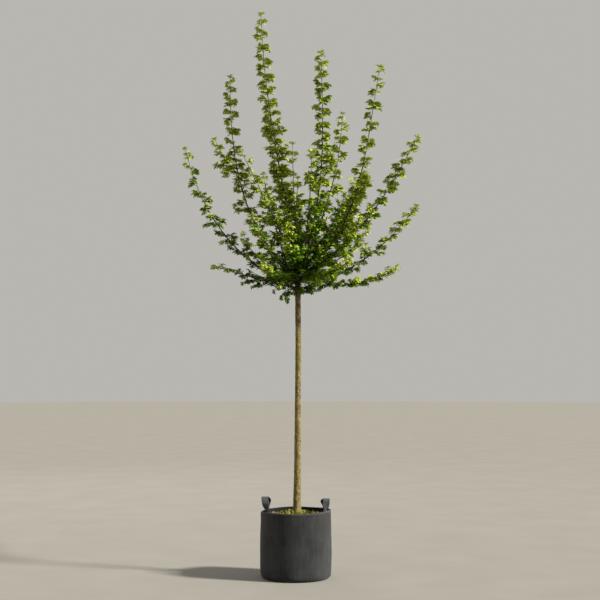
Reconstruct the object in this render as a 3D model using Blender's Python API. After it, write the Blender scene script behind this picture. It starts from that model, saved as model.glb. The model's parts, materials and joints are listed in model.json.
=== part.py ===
"""Young standard hawthorn tree in a felt planting bag with two loop handles.

Metres, +Z up, +X to the right and +Y away from the viewer. The origin is the centre of the bag's
underside. Each shoot of the crown runs along one smooth route from its bough to its tip. Twigs and
leaves grow along it by a seeded rule, inside the space that lies nearer to it than to other shoots.
"""

import math
import random

import bmesh
import bpy
import numpy as np
from mathutils import Quaternion, Vector
from mathutils.bvhtree import BVHTree

# Planting bag
BAG_HEIGHT = 0.345
BAG_WALL = 0.005
INNER_LEVELS = (0.035, 0.110, 0.310)
BAG_SIDES = 32
BAG_RADIUS = 0.1863
RIM_TILT = 0.0045
RIM_TILT_AZIMUTH = -30
RIM_RIPPLE = 0.0018
RIM_RIPPLE_WAVES = 3
RIM_RIPPLE_PHASE = 40

# Profile of the outer wall: height, and how far it lies inside the widest radius
BAG_PROFILE = (
    (0.000, 0.0190),
    (0.004, 0.0100),
    (0.013, 0.0040),
    (0.035, 0.0012),
    (0.110, 0.0000),
    (0.230, 0.0010),
    (0.310, 0.0030),
    (BAG_HEIGHT, 0.0046),
)
FLOOR_CORNER_HEIGHT = 0.010
FLOOR_CORNER_WIDTH = 0.004

# Loop handles, sewn flat inside the wall and turned square to it above the rim
STRAP_WIDTH = 0.038
STRAP_THICKNESS = 0.004
STRAP_AZIMUTH = 29
STRAP_STEPS = 7
STRAP_CLEARANCE = 0.0008
STRAP_FOOT_RISE = 0.0018
STRAP_BEND_RISE = 0.009
STRAP_TURN_RATE = 2.4
ARCH_OUTWARD = 0.002
ARCH_SQUARENESS = 0.9
LEFT_ARCH_RISE = 0.068
RIGHT_ARCH_RISE = 0.058
LEFT_ARCH_LEAN = 0.0095
RIGHT_ARCH_LEAN = 0.0055

# Compost
SOIL_TOP = 0.3290
SOIL_MOUND = 0.010
SOIL_RINGS = (0.75, 0.45, 0.22)
SOIL_SLOPE = 1.3
SOIL_DIP = 0.0024
SOIL_DIPS = 4
SOIL_CLEARANCE = 0.0004
SOIL_EDGE_CLEARANCE = 0.0012

# Trunk: height of each ring, its radius and the sideways place of its centre
TRUNK_SIDES = 12
TRUNK_FOOT_SWELL = 0.0060
TRUNK_FOOT_LOBES = 5
TRUNK_FLARE_HEIGHT = 0.05
TRUNK_RINGS = (
    (0.3293, 0.0245, 0.001),
    (0.341, 0.0225, 0.003),
    (0.363, 0.0205, 0.005),
    (0.420, 0.0195, 0.006),
    (0.560, 0.0178, 0.008),
    (0.760, 0.0165, 0.009),
    (0.960, 0.0152, 0.010),
    (1.200, 0.0147, 0.012),
    (1.440, 0.0145, 0.010),
    (1.500, 0.0148, 0.009),
    (1.560, 0.0140, 0.008),
    (1.620, 0.0122, 0.006),
    (1.668, 0.0100, 0.005),
)

GAP = 0.0003

# Boughs: azimuth and height of the foot on the trunk, reach and height of the fork, thickness
BOUGH_SIDES = 6
BOUGH_STEPS = 4
BOUGH_FOOT_SLOPE = 0.8
BOUGH_TIP_SLOPE = 1.1
BOUGH_TIP_RADIUS = 0.0070
BOUGHS = {
    "left_low": (180, 1.508, 0.085, 1.540, 0.0080),
    "right_low": (0, 1.504, 0.085, 1.526, 0.0080),
    "back_left_low": (115, 1.530, 0.070, 1.560, 0.0072),
    "back_right_low": (57, 1.538, 0.070, 1.570, 0.0072),
    "front_left_low": (245, 1.524, 0.070, 1.556, 0.0072),
    "front_right_low": (303, 1.540, 0.070, 1.570, 0.0072),
    "right": (0, 1.560, 0.065, 1.604, 0.0080),
    "left": (150, 1.574, 0.065, 1.618, 0.0080),
    "front": (275, 1.576, 0.068, 1.612, 0.0072),
    "back_right": (42, 1.600, 0.065, 1.656, 0.0076),
    "front_right": (318, 1.612, 0.052, 1.672, 0.0076),
    "front_left": (228, 1.624, 0.052, 1.690, 0.0072),
    "back": (92, 1.634, 0.055, 1.695, 0.0072),
}

# Shoots on boughs: bough, furthest leaf tip, slope in degrees at the bough and at the end
SHOOTS = {
    "leader": ("trunk", (-0.19, 0.06, 3.02), 79, 88),
    "left_outer": ("left_low", (-0.60, 0.05, 2.28), 27, 76),
    "left_low": ("left_low", (-0.44, -0.08, 1.62), 6, 14),
    "right_outer": ("right_low", (0.66, 0.10, 1.97), 18, 52),
    "right_low": ("right_low", (0.53, -0.10, 1.62), 0, 38),
    "right_wide": ("right", (0.65, -0.05, 2.32), 32, 62),
    "right_tall": ("right", (0.46, 0.12, 2.74), 43, 79),
    "left_tall": ("left", (-0.36, 0.12, 2.69), 46, 90),
    "back_left_tall": ("left", (-0.19, 0.32, 2.19), 58, 66),
    "left_inner": ("front_left", (-0.29, -0.18, 2.22), 64, 60),
    "front_middle": ("front_left", (0.01, -0.26, 2.07), 52, 80),
    "middle_tall": ("front_right", (0.13, -0.10, 2.76), 68, 93),
    "front_right_tall": ("front_right", (0.08, -0.32, 2.19), 50, 84),
    "back_middle": ("back", (-0.02, 0.28, 2.35), 66, 86),
    "back_high": ("back", (0.02, 0.55, 2.03), 30, 60),
    "back_right_tall": ("back_right", (0.26, 0.30, 2.53), 58, 86),
    "back_right_mid": ("back_right", (0.39, 0.27, 2.18), 42, 70),
    "back_left_outer": ("back_left_low", (-0.31, 0.48, 1.87), 22, 55),
    "back_left_low": ("back_left_low", (-0.17, 0.52, 1.66), 4, 30),
    "back_right_outer": ("back_right_low", (0.41, 0.45, 1.90), 26, 55),
    "back_right_low": ("back_right_low", (0.25, 0.56, 1.69), 4, 30),
    "front_left_outer": ("front_left_low", (-0.22, -0.42, 1.85), 26, 58),
    "front_left_low": ("front_left_low", (-0.16, -0.50, 1.60), 2, 24),
    "front_right_outer": ("front_right_low", (0.32, -0.42, 1.84), 24, 56),
    "front_right_low": ("front_right_low", (0.27, -0.48, 1.62), 2, 24),
    "front_low": ("front", (-0.04, -0.55, 1.79), 12, 46),
    "front_right_mid": ("front", (0.25, -0.32, 1.97), 38, 66),
}

# Short shoots straight from the trunk: azimuth and height of the foot, then as above
TRUNK_SHOOTS = {
    "low_left": (205, 1.474, (-0.09, -0.07, 1.455), -10, -25),
    "low_right": (328, 1.484, (0.14, -0.10, 1.505), 5, 20),
    "low_back": (85, 1.490, (0.02, 0.17, 1.50), 0, 20),
    "low_front": (272, 1.482, (0.03, -0.16, 1.51), 0, 20),
    "spur_front_left": (210, 1.566, (-0.13, -0.10, 1.66), 35, 50),
    "spur_front_right": (335, 1.590, (0.13, -0.08, 1.71), 45, 65),
    "spur_front": (255, 1.596, (-0.04, -0.17, 1.72), 30, 60),
    "spur_back": (110, 1.590, (-0.04, 0.17, 1.68), 30, 55),
    "spur_back_right": (20, 1.545, (0.15, 0.09, 1.62), 25, 45),
}

# Second wands that fork from a shoot: where along it, and their tip
SIDE_WANDS = {
    "left_tall": ((0.50, (-0.43, 0.03, 2.30)),),
}

ROUTE_PULL = 0.36
ROUTE_STEP = 0.12
STEM_FOOT_RADIUS = 0.0052
SPUR_FOOT_RADIUS = 0.0038
STEM_TIP_RADIUS = 0.0022
FORK_OFFSET = 0.0058
SIDE_WAND_RISE = 0.6

# Room round each shoot
SAMPLE_STEP = 0.010
SPACE_MARGIN = 0.0022
LIMB_MARGIN = 0.0022
TRUNK_SAMPLES = 40
TRUNK_SAMPLES_FROM = 1.35

# Twigs, longest near the foot of their wand
TWIG_START = 0.06
TWIG_SPACING = 0.105
TWIG_ZONE = 0.52
TWIG_LONGEST = 0.115
TWIG_SHORTEST = 0.060
TWIG_SIZES = (1.0, 0.8, 0.6)
TWIG_TURNS = (0, 60, -60, 120, -120)
TWIG_ANGLE = 52
TWIG_RISE = 0.18
TWIG_END_ROOM = 0.012
TWIG_RADIUS = 0.0030
SIDE_WAND_RADIUS = 0.0036

# Leaves, each as large as a cluster of three or four real ones
LEAF_START = 0.018
LEAF_SPACING = 0.046
TWIG_LEAF_START = 0.026
TWIG_LEAF_SPACING = 0.044
LEAF_END_ROOM = 0.014
LEAF_LENGTH = 0.068
LEAF_WIDTH = 0.058
LEAF_TOP_WIDTH = 0.030
LEAF_SHOULDER = 0.58
LEAF_RIDGE = 0.45
LEAF_THICKNESS = 0.0024
LEAF_TIP_SCALE = 0.80
LEAF_SIZES = (1.0, 0.8, 0.64, 0.48)
LEAF_TURNS = (0, 60, -60)
LEAF_ANGLE = 45
LEAF_ANGLE_SPREAD = 11
LEAF_ROLLS = (50, 90)
TIP_LEAF_ANGLE = 12
TIP_LEAF_SINK = 0.003
TIP_LEAF_REACH = 0.045
STEM_CLEARANCE = 0.006
GOLDEN_ANGLE = 137.5
TURN_SPREAD = 15
SPACING_SPREAD = 0.15
SCALE_SPREAD = 0.08

COLOURS = {
    "felt": ((52, 51, 49), 0.95),
    "strap": ((66, 66, 64), 0.93),
    "compost": ((58, 48, 30), 0.96),
    "bark": ((112, 98, 58), 0.85),
    "leaf": ((62, 84, 24), 0.60),
}


def linear(channel):
    value = channel / 255
    return value / 12.92 if value <= 0.04045 else ((value + 0.055) / 1.055) ** 2.4


def material(name):
    found = bpy.data.materials.get(name)
    if found:
        return found
    rgb, roughness = COLOURS[name]
    made = bpy.data.materials.new(name)
    made.use_nodes = True
    shader = made.node_tree.nodes["Principled BSDF"]
    shader.inputs["Base Color"].default_value = (*[linear(c) for c in rgb], 1)
    shader.inputs["Roughness"].default_value = roughness
    shader.inputs["Metallic"].default_value = 0
    return made


def add_object(name, points, faces, look, collection=None):
    mesh = bpy.data.meshes.new(name)
    mesh.from_pydata([tuple(p) for p in points], [], faces)
    mesh.validate()
    shape = bmesh.new()
    shape.from_mesh(mesh)
    bmesh.ops.recalc_face_normals(shape, faces=shape.faces)
    shape.to_mesh(mesh)
    shape.free()
    mesh.materials.append(material(look))
    made = bpy.data.objects.new(name, mesh)
    (collection or bpy.context.scene.collection).objects.link(made)
    return made


def around(azimuth, elevation=0):
    """Unit vector at an azimuth from +X and an elevation above level, in degrees."""
    a, e = math.radians(azimuth), math.radians(elevation)
    return Vector((math.cos(a) * math.cos(e), math.sin(a) * math.cos(e), math.sin(e)))


def lerp(a, b, t):
    return a + (b - a) * t


def ring_faces(rings, sides):
    """Quads between rings of equal size, with both ends filled."""
    faces = []
    for ring in range(rings - 1):
        for side in range(sides):
            a = ring * sides + side
            b = ring * sides + (side + 1) % sides
            faces.append((a, b, b + sides, a + sides))
    faces.append(tuple(range(sides))[::-1])
    faces.append(tuple(range((rings - 1) * sides, rings * sides)))
    return faces


# Planting bag and compost


def rim_rise(azimuth):
    """How far the soft rim stands above or below its mean height."""
    tilt = RIM_TILT * math.cos(math.radians(azimuth - RIM_TILT_AZIMUTH))
    return tilt + RIM_RIPPLE * math.cos(math.radians(RIM_RIPPLE_WAVES * azimuth + RIM_RIPPLE_PHASE))


def bag_outer():
    """Height and radius of the outer wall, from the underside to the rim."""
    return [(z, BAG_RADIUS - inset) for z, inset in BAG_PROFILE]


def bag_inner():
    """Height and radius of the inner wall, from the rim down to the floor."""
    outer = bag_outer()
    foot_radius = outer[0][1]
    levels = (*INNER_LEVELS, BAG_HEIGHT)
    wall = [(z, radius - BAG_WALL) for z, radius in reversed(outer) if z in levels]
    corner = (FLOOR_CORNER_HEIGHT, foot_radius + FLOOR_CORNER_WIDTH)
    floor = (BAG_WALL, foot_radius - FLOOR_CORNER_WIDTH)
    return [*wall, corner, floor]


def turned_ring(z, radius, top):
    """One ring of a turned shape; a ring at the height `top` follows the soft rim."""
    ring = []
    for side in range(BAG_SIDES):
        azimuth = 360 * side / BAG_SIDES
        p = around(azimuth) * radius
        p.z = z + (rim_rise(azimuth) if z == top else 0)
        ring.append(p)
    return ring


def build_bag():
    points = []
    rings = (*bag_outer(), *bag_inner())
    for z, radius in rings:
        points += turned_ring(z, radius, BAG_HEIGHT)
    add_object("felt_bag", points, ring_faces(len(rings), BAG_SIDES), "felt")


def inner_radius(z):
    """Radius of the bag's inner wall at a height, read along its profile."""
    wall = sorted(bag_inner())
    for (z0, r0), (z1, r1) in zip(wall, wall[1:]):
        if z0 <= z <= z1:
            return lerp(r0, r1, (z - z0) / (z1 - z0))
    return wall[-1][1]


def build_soil():
    """Compost that fills the bag to just under its rim, with a slight mound round the stem."""
    levels = sorted(z for z, _ in bag_inner() if z < SOIL_TOP - SOIL_MOUND)
    points = []
    for z in levels:
        height = z + GAP if z == levels[0] else z
        points += turned_ring(height, inner_radius(z) - SOIL_CLEARANCE, None)
    edge = inner_radius(SOIL_TOP)
    points += turned_ring(SOIL_TOP - SOIL_MOUND, edge - SOIL_EDGE_CLEARANCE, None)
    for share in SOIL_RINGS:
        ring = turned_ring(SOIL_TOP, edge * share, None)
        slope = SOIL_MOUND * (share - SOIL_RINGS[-1]) ** SOIL_SLOPE
        dip = 0 if share == SOIL_RINGS[-1] else SOIL_DIP
        for side, p in enumerate(ring):
            wave = 0.5 + 0.5 * math.cos(2 * math.pi * SOIL_DIPS * side / BAG_SIDES)
            p.z -= slope + dip * wave
        points += ring
    rings = len(levels) + 1 + len(SOIL_RINGS)
    add_object("compost", points, ring_faces(rings, BAG_SIDES), "compost")


# Handles


def mirrored(vector, side, end):
    """A vector of the right handle's back half, carried to the handle and half that are meant."""
    return Vector((vector.x * side, vector.y * end, vector.z))


def strap_route(side, rise, lean):
    """Points up one leg, over the arch and down the other, each with the strap's width direction.

    `side` is +1 for the right handle and -1 for the left one.
    """
    wall = inner_radius(BAG_HEIGHT) - STRAP_CLEARANCE
    reach = math.sqrt(wall**2 - (STRAP_WIDTH / 2) ** 2) - STRAP_THICKNESS / 2
    foot = around(STRAP_AZIMUTH) * reach
    tangent = around(STRAP_AZIMUTH + 90)
    foot_z = SOIL_TOP - SOIL_MOUND + STRAP_FOOT_RISE
    bend_z = BAG_HEIGHT + STRAP_BEND_RISE
    half = []
    for z in (foot_z, BAG_HEIGHT - STRAP_BEND_RISE, bend_z):
        half.append((Vector((foot.x, foot.y, z)), tangent))
    for step in range(1, STRAP_STEPS + 1):
        t = step / STRAP_STEPS
        angle = t * math.pi / 2
        y = foot.y * math.cos(angle) ** ARCH_SQUARENESS if step < STRAP_STEPS else 0
        z = bend_z + (BAG_HEIGHT + rise - bend_z) * math.sin(angle)
        x = foot.x + (ARCH_OUTWARD + lean) * math.sin(angle)
        turn = min(t * STRAP_TURN_RATE, 1)
        width = tangent.lerp(Vector((-1, 0, 0)), turn * turn * (3 - 2 * turn)).normalized()
        half.append((Vector((x, y, z)), width))
    route = [(mirrored(p, side, -1), mirrored(w, side, -1)) for p, w in half]
    route += [(mirrored(p, side, 1), mirrored(w, side, 1)) for p, w in reversed(half[:-1])]
    return route


def build_handle(name, side, rise, lean):
    """A flat strap swept along its route with a rectangular section."""
    route = strap_route(side, rise, lean)
    points = []
    last = None
    for i, (p, width) in enumerate(route):
        before = route[max(i - 1, 0)][0]
        after = route[min(i + 1, len(route) - 1)][0]
        along = (after - before).normalized()
        across = (width - along * width.dot(along)).normalized()
        if last is not None and across.dot(last) < 0:
            across = -across
        last = across
        normal = along.cross(across).normalized()
        for a, b in ((1, 1), (-1, 1), (-1, -1), (1, -1)):
            points.append(p + across * (a * STRAP_WIDTH / 2) + normal * (b * STRAP_THICKNESS / 2))
    add_object(name, points, ring_faces(len(route), 4), "strap")


# Trunk


def trunk_at(z):
    """Radius and centre of the trunk at a height."""
    rings = TRUNK_RINGS
    for (z0, r0, x0), (z1, r1, x1) in zip(rings, rings[1:]):
        if z <= z1:
            t = max((z - z0) / (z1 - z0), 0)
            return lerp(r0, r1, t), Vector((lerp(x0, x1, t), 0, z))
    return rings[-1][1], Vector((rings[-1][2], 0, z))


def build_trunk():
    points = []
    foot = TRUNK_RINGS[0][0]
    for z, radius, x in TRUNK_RINGS:
        swell = TRUNK_FOOT_SWELL * max(1 - (z - foot) / TRUNK_FLARE_HEIGHT, 0) ** 1.5
        for side in range(TRUNK_SIDES):
            azimuth = 360 * side / TRUNK_SIDES
            lobe = 0.5 + 0.5 * math.cos(math.radians(TRUNK_FOOT_LOBES * azimuth + 60))
            p = around(azimuth) * (radius + swell * lobe)
            points.append(Vector((p.x + x, p.y, z)))
    add_object("trunk", points, ring_faces(len(TRUNK_RINGS), TRUNK_SIDES), "bark")


# Routes of boughs and shoots


def bezier(p0, p1, p2, p3, t):
    s = 1 - t
    return p0 * s**3 + p1 * (3 * s * s * t) + p2 * (3 * s * t * t) + p3 * t**3


def curve(start, out, finish, into, steps=None):
    """Points along a smooth curve that leaves `start` along `out` and reaches `finish` along `into`."""
    reach = (finish - start).length
    steps = steps or max(round(reach / ROUTE_STEP), 3)
    pull = reach * ROUTE_PULL
    p1 = start + out * pull
    p2 = finish - into * pull
    return [bezier(start, p1, p2, finish, i / steps) for i in range(steps + 1)]


def heading(start, finish):
    return math.degrees(math.atan2(finish.y - start.y, finish.x - start.x))


def bough_route(name):
    azimuth, foot_z, reach, fork_z, foot_radius = BOUGHS[name]
    radius = trunk_at(foot_z - foot_radius)[0]
    centre = trunk_at(foot_z)[1]
    start = centre + around(azimuth) * (radius + GAP)
    finish = Vector((centre.x, 0, fork_z)) + around(azimuth) * reach
    rise = math.degrees(math.atan2(fork_z - foot_z, reach - radius))
    out = around(azimuth, rise * BOUGH_FOOT_SLOPE)
    into = around(azimuth, rise * BOUGH_TIP_SLOPE)
    return curve(start, out, finish, into, BOUGH_STEPS)


def bough_end(name):
    """Tip and direction of a bough, or of the trunk, that a shoot grows from."""
    if name == "trunk":
        radius, tip = trunk_at(TRUNK_RINGS[-1][0])
        return tip, (tip - trunk_at(TRUNK_RINGS[-2][0])[1]).normalized()
    route = bough_route(name)
    return route[-1], (route[-1] - route[-2]).normalized()


def shoot_start(name):
    """Place just clear of its limb where a shoot starts, and the direction of that limb's end."""
    bough, tip, leave, _ = SHOOTS[name]
    end, along = bough_end(bough)
    out = around(heading(end, Vector(tip)), leave)
    offset = Vector((0, 0, 0))
    for other, (other_bough, other_tip, other_leave, _) in SHOOTS.items():
        if other_bough == bough and other != name:
            apart = out - around(heading(end, Vector(other_tip)), other_leave)
            apart -= along * apart.dot(along)
            offset += apart.normalized() * FORK_OFFSET
    return end + offset + along * GAP, along


def trunk_shoot_start(name):
    azimuth, foot_z, *_ = TRUNK_SHOOTS[name]
    radius = trunk_at(foot_z - SPUR_FOOT_RADIUS)[0]
    centre = trunk_at(foot_z)[1]
    return centre + around(azimuth) * (radius + GAP), around(azimuth)


def shoot_route(name):
    """Points of a shoot to where its last leaf grows, and the direction that its foot faces."""
    if name in SHOOTS:
        start, facing = shoot_start(name)
        _, tip, leave, arrive = SHOOTS[name]
    else:
        start, facing = trunk_shoot_start(name)
        _, _, tip, leave, arrive = TRUNK_SHOOTS[name]
    tip = Vector(tip)
    azimuth = heading(start, tip)
    into = around(azimuth, arrive)
    return curve(start, around(azimuth, leave), tip - into * TIP_LEAF_REACH, into), facing


def side_route(main, share, tip):
    """Points of a second wand that starts inside a shoot, part of the way along it."""
    index = int(share * (len(main) - 1))
    start = main[index]
    finish = Vector(tip)
    along = (main[index + 1] - main[index]).normalized()
    out = (along + (finish - start).normalized()).normalized()
    into = ((finish - start).normalized() + Vector((0, 0, SIDE_WAND_RISE))).normalized()
    return curve(start, out, finish, into)


class Wand:
    """A stem along a smooth route: where it is, where it points and how thick it is."""

    def __init__(self, points, foot_radius, tip_radius):
        self.points = points
        self.lengths = [0]
        for a, b in zip(points, points[1:]):
            self.lengths.append(self.lengths[-1] + (b - a).length)
        self.length = self.lengths[-1]
        self.foot_radius = foot_radius
        self.tip_radius = tip_radius

    def at(self, distance):
        for i in range(1, len(self.points)):
            if distance <= self.lengths[i] or i == len(self.points) - 1:
                step = self.lengths[i] - self.lengths[i - 1]
                t = min((distance - self.lengths[i - 1]) / step, 1)
                here = self.points[i - 1].lerp(self.points[i], t)
                return here, (self.points[i] - self.points[i - 1]).normalized()

    def radius(self, distance):
        return lerp(self.foot_radius, self.tip_radius, min(distance / self.length, 1))

    def samples(self):
        count = max(int(self.length / SAMPLE_STEP), 2)
        return [self.at(self.length * i / count)[0] for i in range(count + 1)]


def across(along):
    """Two unit vectors square to a direction and to each other."""
    guide = Vector((0, 1, 0)) if abs(along.y) < 0.9 else Vector((1, 0, 0))
    u = along.cross(guide).normalized()
    return u, along.cross(u).normalized()


def tube(places, radii, sides, foot_plane=None):
    """Points and faces of a tapering limb; its foot may be cut along a plane through its start."""
    points = []
    u = None
    for i, p in enumerate(places):
        before = places[max(i - 1, 0)]
        after = places[min(i + 1, len(places) - 1)]
        along = (after - before).normalized()
        if u is None:
            u, v = across(along)
        u = (u - along * u.dot(along)).normalized()
        v = along.cross(u)
        for side in range(sides):
            angle = 2 * math.pi * side / sides
            offset = (u * math.cos(angle) + v * math.sin(angle)) * radii[i]
            if i == 0 and foot_plane is not None:
                offset -= along * (offset.dot(foot_plane) / along.dot(foot_plane))
            points.append(p + offset)
    return points, ring_faces(len(places), sides)


def build_bough(name):
    azimuth, _, _, _, foot_radius = BOUGHS[name]
    route = bough_route(name)
    shares = [i / BOUGH_STEPS for i in range(BOUGH_STEPS + 1)]
    radii = [lerp(foot_radius, BOUGH_TIP_RADIUS, share) for share in shares]
    points, faces = tube(route, radii, BOUGH_SIDES, around(azimuth))
    add_object("bough_" + name, points, faces, "bark")


# Spaces between the shoots


def all_wands():
    """The wands of every shoot, its main one first, and the direction that its foot faces."""
    wands = {}
    for name in (*SHOOTS, *TRUNK_SHOOTS):
        points, facing = shoot_route(name)
        foot_radius = STEM_FOOT_RADIUS if name in SHOOTS else SPUR_FOOT_RADIUS
        found = [Wand(points, foot_radius, STEM_TIP_RADIUS)]
        for share, tip in SIDE_WANDS.get(name, ()):
            found.append(Wand(side_route(points, share, tip), SIDE_WAND_RADIUS, STEM_TIP_RADIUS))
        wands[name] = (found, facing)
    return wands


def gathered(points):
    return np.array([tuple(p) for p in points])


def limb_samples():
    """Places along the boughs and the upper trunk, and the radius that each takes up."""
    places = []
    radii = []
    for bough in BOUGHS:
        route = bough_route(bough)
        for i in range(2 * BOUGH_STEPS + 1):
            places.append((route[i // 2] + route[(i + 1) // 2]) / 2)
            radii.append(BOUGHS[bough][4])
    for i in range(TRUNK_SAMPLES):
        height = lerp(TRUNK_RINGS[-1][0], TRUNK_SAMPLES_FROM, i / (TRUNK_SAMPLES - 1))
        radius, centre = trunk_at(height)
        places.append(centre)
        radii.append(radius)
    return gathered(places), np.array(radii)


class Space:
    """The room that belongs to one shoot: nearer to it than to any other, and clear of the limbs."""

    def __init__(self, name, wands):
        self.own = gathered([p for wand in wands[name][0] for p in wand.samples()])
        others = [wand for other in wands if other != name for wand in wands[other][0]]
        self.others = gathered([p for wand in others for p in wand.samples()])
        self.limbs, self.limb_radii = limb_samples()

    def holds(self, points):
        spots = gathered(points)[:, None, :]
        own = np.linalg.norm(spots - self.own[None], axis=2).min(axis=1)
        others = np.linalg.norm(spots - self.others[None], axis=2).min(axis=1)
        if (own + SPACE_MARGIN > others).any():
            return False
        clear = np.linalg.norm(spots - self.limbs[None], axis=2) - self.limb_radii
        return bool((clear > LIMB_MARGIN).all())


# Leaves and twigs


def leaf_shape(foot, along, face_up, scale):
    """Corners of a wedge-shaped blade with a broad blunt top: its foot, four of its rim and its ridge."""
    side = along.cross(face_up).normalized()
    up = side.cross(along).normalized()
    length = LEAF_LENGTH * scale
    shoulder = foot + along * (length * LEAF_SHOULDER)
    top = foot + along * length
    half = side * (LEAF_WIDTH * scale / 2)
    top_half = side * (LEAF_TOP_WIDTH * scale / 2)
    ridge = foot + along * (length * LEAF_RIDGE) + up * (LEAF_THICKNESS * scale)
    return [foot, shoulder + half, top + top_half, top - top_half, shoulder - half, ridge]


# Five faces slope down from the ridge, and three make the flat back
LEAF_FACES = (
    (0, 5, 1), (1, 5, 2), (2, 5, 3), (3, 5, 4), (4, 5, 0),
    (0, 1, 4), (1, 2, 4), (2, 3, 4),
)


def blade(shape):
    """Search tree of a leaf without the end that its stem holds."""
    foot = shape[0].lerp(shape[-1], 0.4)
    return BVHTree.FromPolygons([tuple(p) for p in (foot, *shape[1:])], LEAF_FACES)


def leaf_spots(shape):
    """Points spread over a leaf that must lie in its shoot's space."""
    foot, left, top_left, top_right, right, ridge = shape
    spots = [left, top_left, top_right, right, ridge, top_left.lerp(top_right, 0.5)]
    spots += [foot.lerp(left, 0.6), foot.lerp(right, 0.6)]
    spots += [left.lerp(top_left, 0.5), right.lerp(top_right, 0.5)]
    spots += [left.lerp(right, share) for share in (0.25, 0.5, 0.75)]
    return spots


def direction_off(along, turn, angle):
    """A direction that leans from `along` by `angle`, turned round it by `turn`, in degrees."""
    u, v = across(along)
    a = math.radians(turn)
    out = u * math.cos(a) + v * math.sin(a)
    lean = math.radians(angle)
    return (along * math.cos(lean) + out * math.sin(lean)).normalized()


class Growth:
    """The twigs and leaves of one shoot, grown inside its space."""

    def __init__(self, name, wands):
        self.rng = random.Random("shoot " + name)
        self.space = Space(name, wands)
        self.wands = wands[name][0]
        self.twigs = []
        self.leaves = []
        self.blades = []
        for wand in self.wands:
            self.grow_twigs(wand)
        stems = (*self.wands, *self.twigs)
        self.stems = gathered([p for stem in stems for p in stem.samples()])
        for wand in self.wands:
            self.grow_leaves(wand, LEAF_START, LEAF_SPACING)
        for twig in self.twigs:
            self.grow_leaves(twig, TWIG_LEAF_START, TWIG_LEAF_SPACING)

    def spread(self, most):
        """A random number from -most to +most."""
        return self.rng.uniform(-most, most)

    def grow_twigs(self, wand):
        """Side twigs along the lower part of a wand."""
        turn = self.rng.uniform(0, 360)
        distance = TWIG_START
        zone = wand.length * TWIG_ZONE
        while distance < zone:
            self.grow_twig(wand, distance, turn, lerp(TWIG_LONGEST, TWIG_SHORTEST, distance / zone))
            turn += GOLDEN_ANGLE + self.spread(TURN_SPREAD)
            distance += TWIG_SPACING * (1 + self.spread(SPACING_SPREAD))

    def grow_twig(self, wand, distance, turn, length):
        """The longest straight twig that fits the space at a place on a wand, or none."""
        foot, along = wand.at(distance)
        for size in TWIG_SIZES:
            for extra in TWIG_TURNS:
                out = direction_off(along, turn + extra, TWIG_ANGLE)
                into = (out + Vector((0, 0, TWIG_RISE))).normalized()
                tip = foot + into * (length * size)
                if self.space.holds([foot.lerp(tip, 0.5), tip, tip + into * TWIG_END_ROOM]):
                    self.twigs.append(Wand([foot, tip], TWIG_RADIUS, STEM_TIP_RADIUS))
                    return

    def grow_leaves(self, stem, first, spacing):
        """Leaves turned round a stem by the golden angle, smaller toward its tip, and one at its end."""
        turn = self.rng.uniform(0, 360)
        distance = first
        while distance < stem.length - LEAF_END_ROOM:
            scale = lerp(1.0, LEAF_TIP_SCALE, distance / stem.length) * (1 + self.spread(SCALE_SPREAD))
            self.grow_leaf(stem, distance, turn, LEAF_ANGLE + self.spread(LEAF_ANGLE_SPREAD), scale)
            turn += GOLDEN_ANGLE + self.spread(TURN_SPREAD)
            distance += spacing * (1 + self.spread(SPACING_SPREAD))
        self.grow_leaf(stem, stem.length - TIP_LEAF_SINK, turn, TIP_LEAF_ANGLE, LEAF_TIP_SCALE)

    def grow_leaf(self, stem, distance, turn, angle, scale):
        """The largest leaf that fits at a place on a stem, or none."""
        foot, along = stem.at(distance)
        roll = math.radians(self.rng.uniform(*LEAF_ROLLS) * self.rng.choice((-1, 1)))
        for size in LEAF_SIZES:
            for extra in LEAF_TURNS:
                out = direction_off(along, turn + extra, angle)
                upward = Vector((0, 0, 1)) + along
                face_up = (upward - out * upward.dot(out)).normalized()
                shape = leaf_shape(foot, out, Quaternion(out, roll) @ face_up, scale * size)
                if self.fits(shape):
                    self.leaves.append(shape)
                    self.blades.append(blade(shape))
                    return

    def fits(self, shape):
        spots = leaf_spots(shape)
        if not self.space.holds(spots):
            return False
        gaps = np.linalg.norm(gathered(spots)[:, None, :] - self.stems[None], axis=2)
        if (gaps < STEM_CLEARANCE).any():
            return False
        new = blade(shape)
        return not any(new.overlap(other) for other in self.blades)


def stem_object(name, wand, collection=None, foot_plane=None):
    radii = [wand.radius(length) for length in wand.lengths]
    points, faces = tube(wand.points, radii, 3, foot_plane)
    return add_object(name, points, faces, "leaf", collection)


def join_all(base, collection):
    """Joins every object of a collection to the base by one union, and removes them."""
    union = base.modifiers.new("join", "BOOLEAN")
    union.operation = "UNION"
    union.operand_type = "COLLECTION"
    union.collection = collection
    union.solver = "EXACT"
    bpy.context.view_layer.update()
    graph = bpy.context.evaluated_depsgraph_get()
    joined = bpy.data.meshes.new_from_object(base.evaluated_get(graph))
    base.modifiers.remove(union)
    base.data = joined
    for made in list(collection.objects):
        bpy.data.objects.remove(made)
    bpy.data.collections.remove(collection)


def drop_scraps(obj):
    """Keeps the largest connected piece of a mesh."""
    shape = bmesh.new()
    shape.from_mesh(obj.data)
    bmesh.ops.triangulate(shape, faces=shape.faces)
    bmesh.ops.dissolve_degenerate(shape, dist=0.00001, edges=shape.edges)
    left = set(shape.verts)
    pieces = []
    while left:
        seed = left.pop()
        piece = {seed}
        edge = [seed]
        while edge:
            vert = edge.pop()
            for link in vert.link_edges:
                other = link.other_vert(vert)
                if other not in piece:
                    piece.add(other)
                    edge.append(other)
        left -= piece
        pieces.append(piece)
    pieces.sort(key=len)
    for piece in pieces[:-1]:
        bmesh.ops.delete(shape, geom=list(piece), context="VERTS")
    shape.to_mesh(obj.data)
    shape.free()


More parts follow.
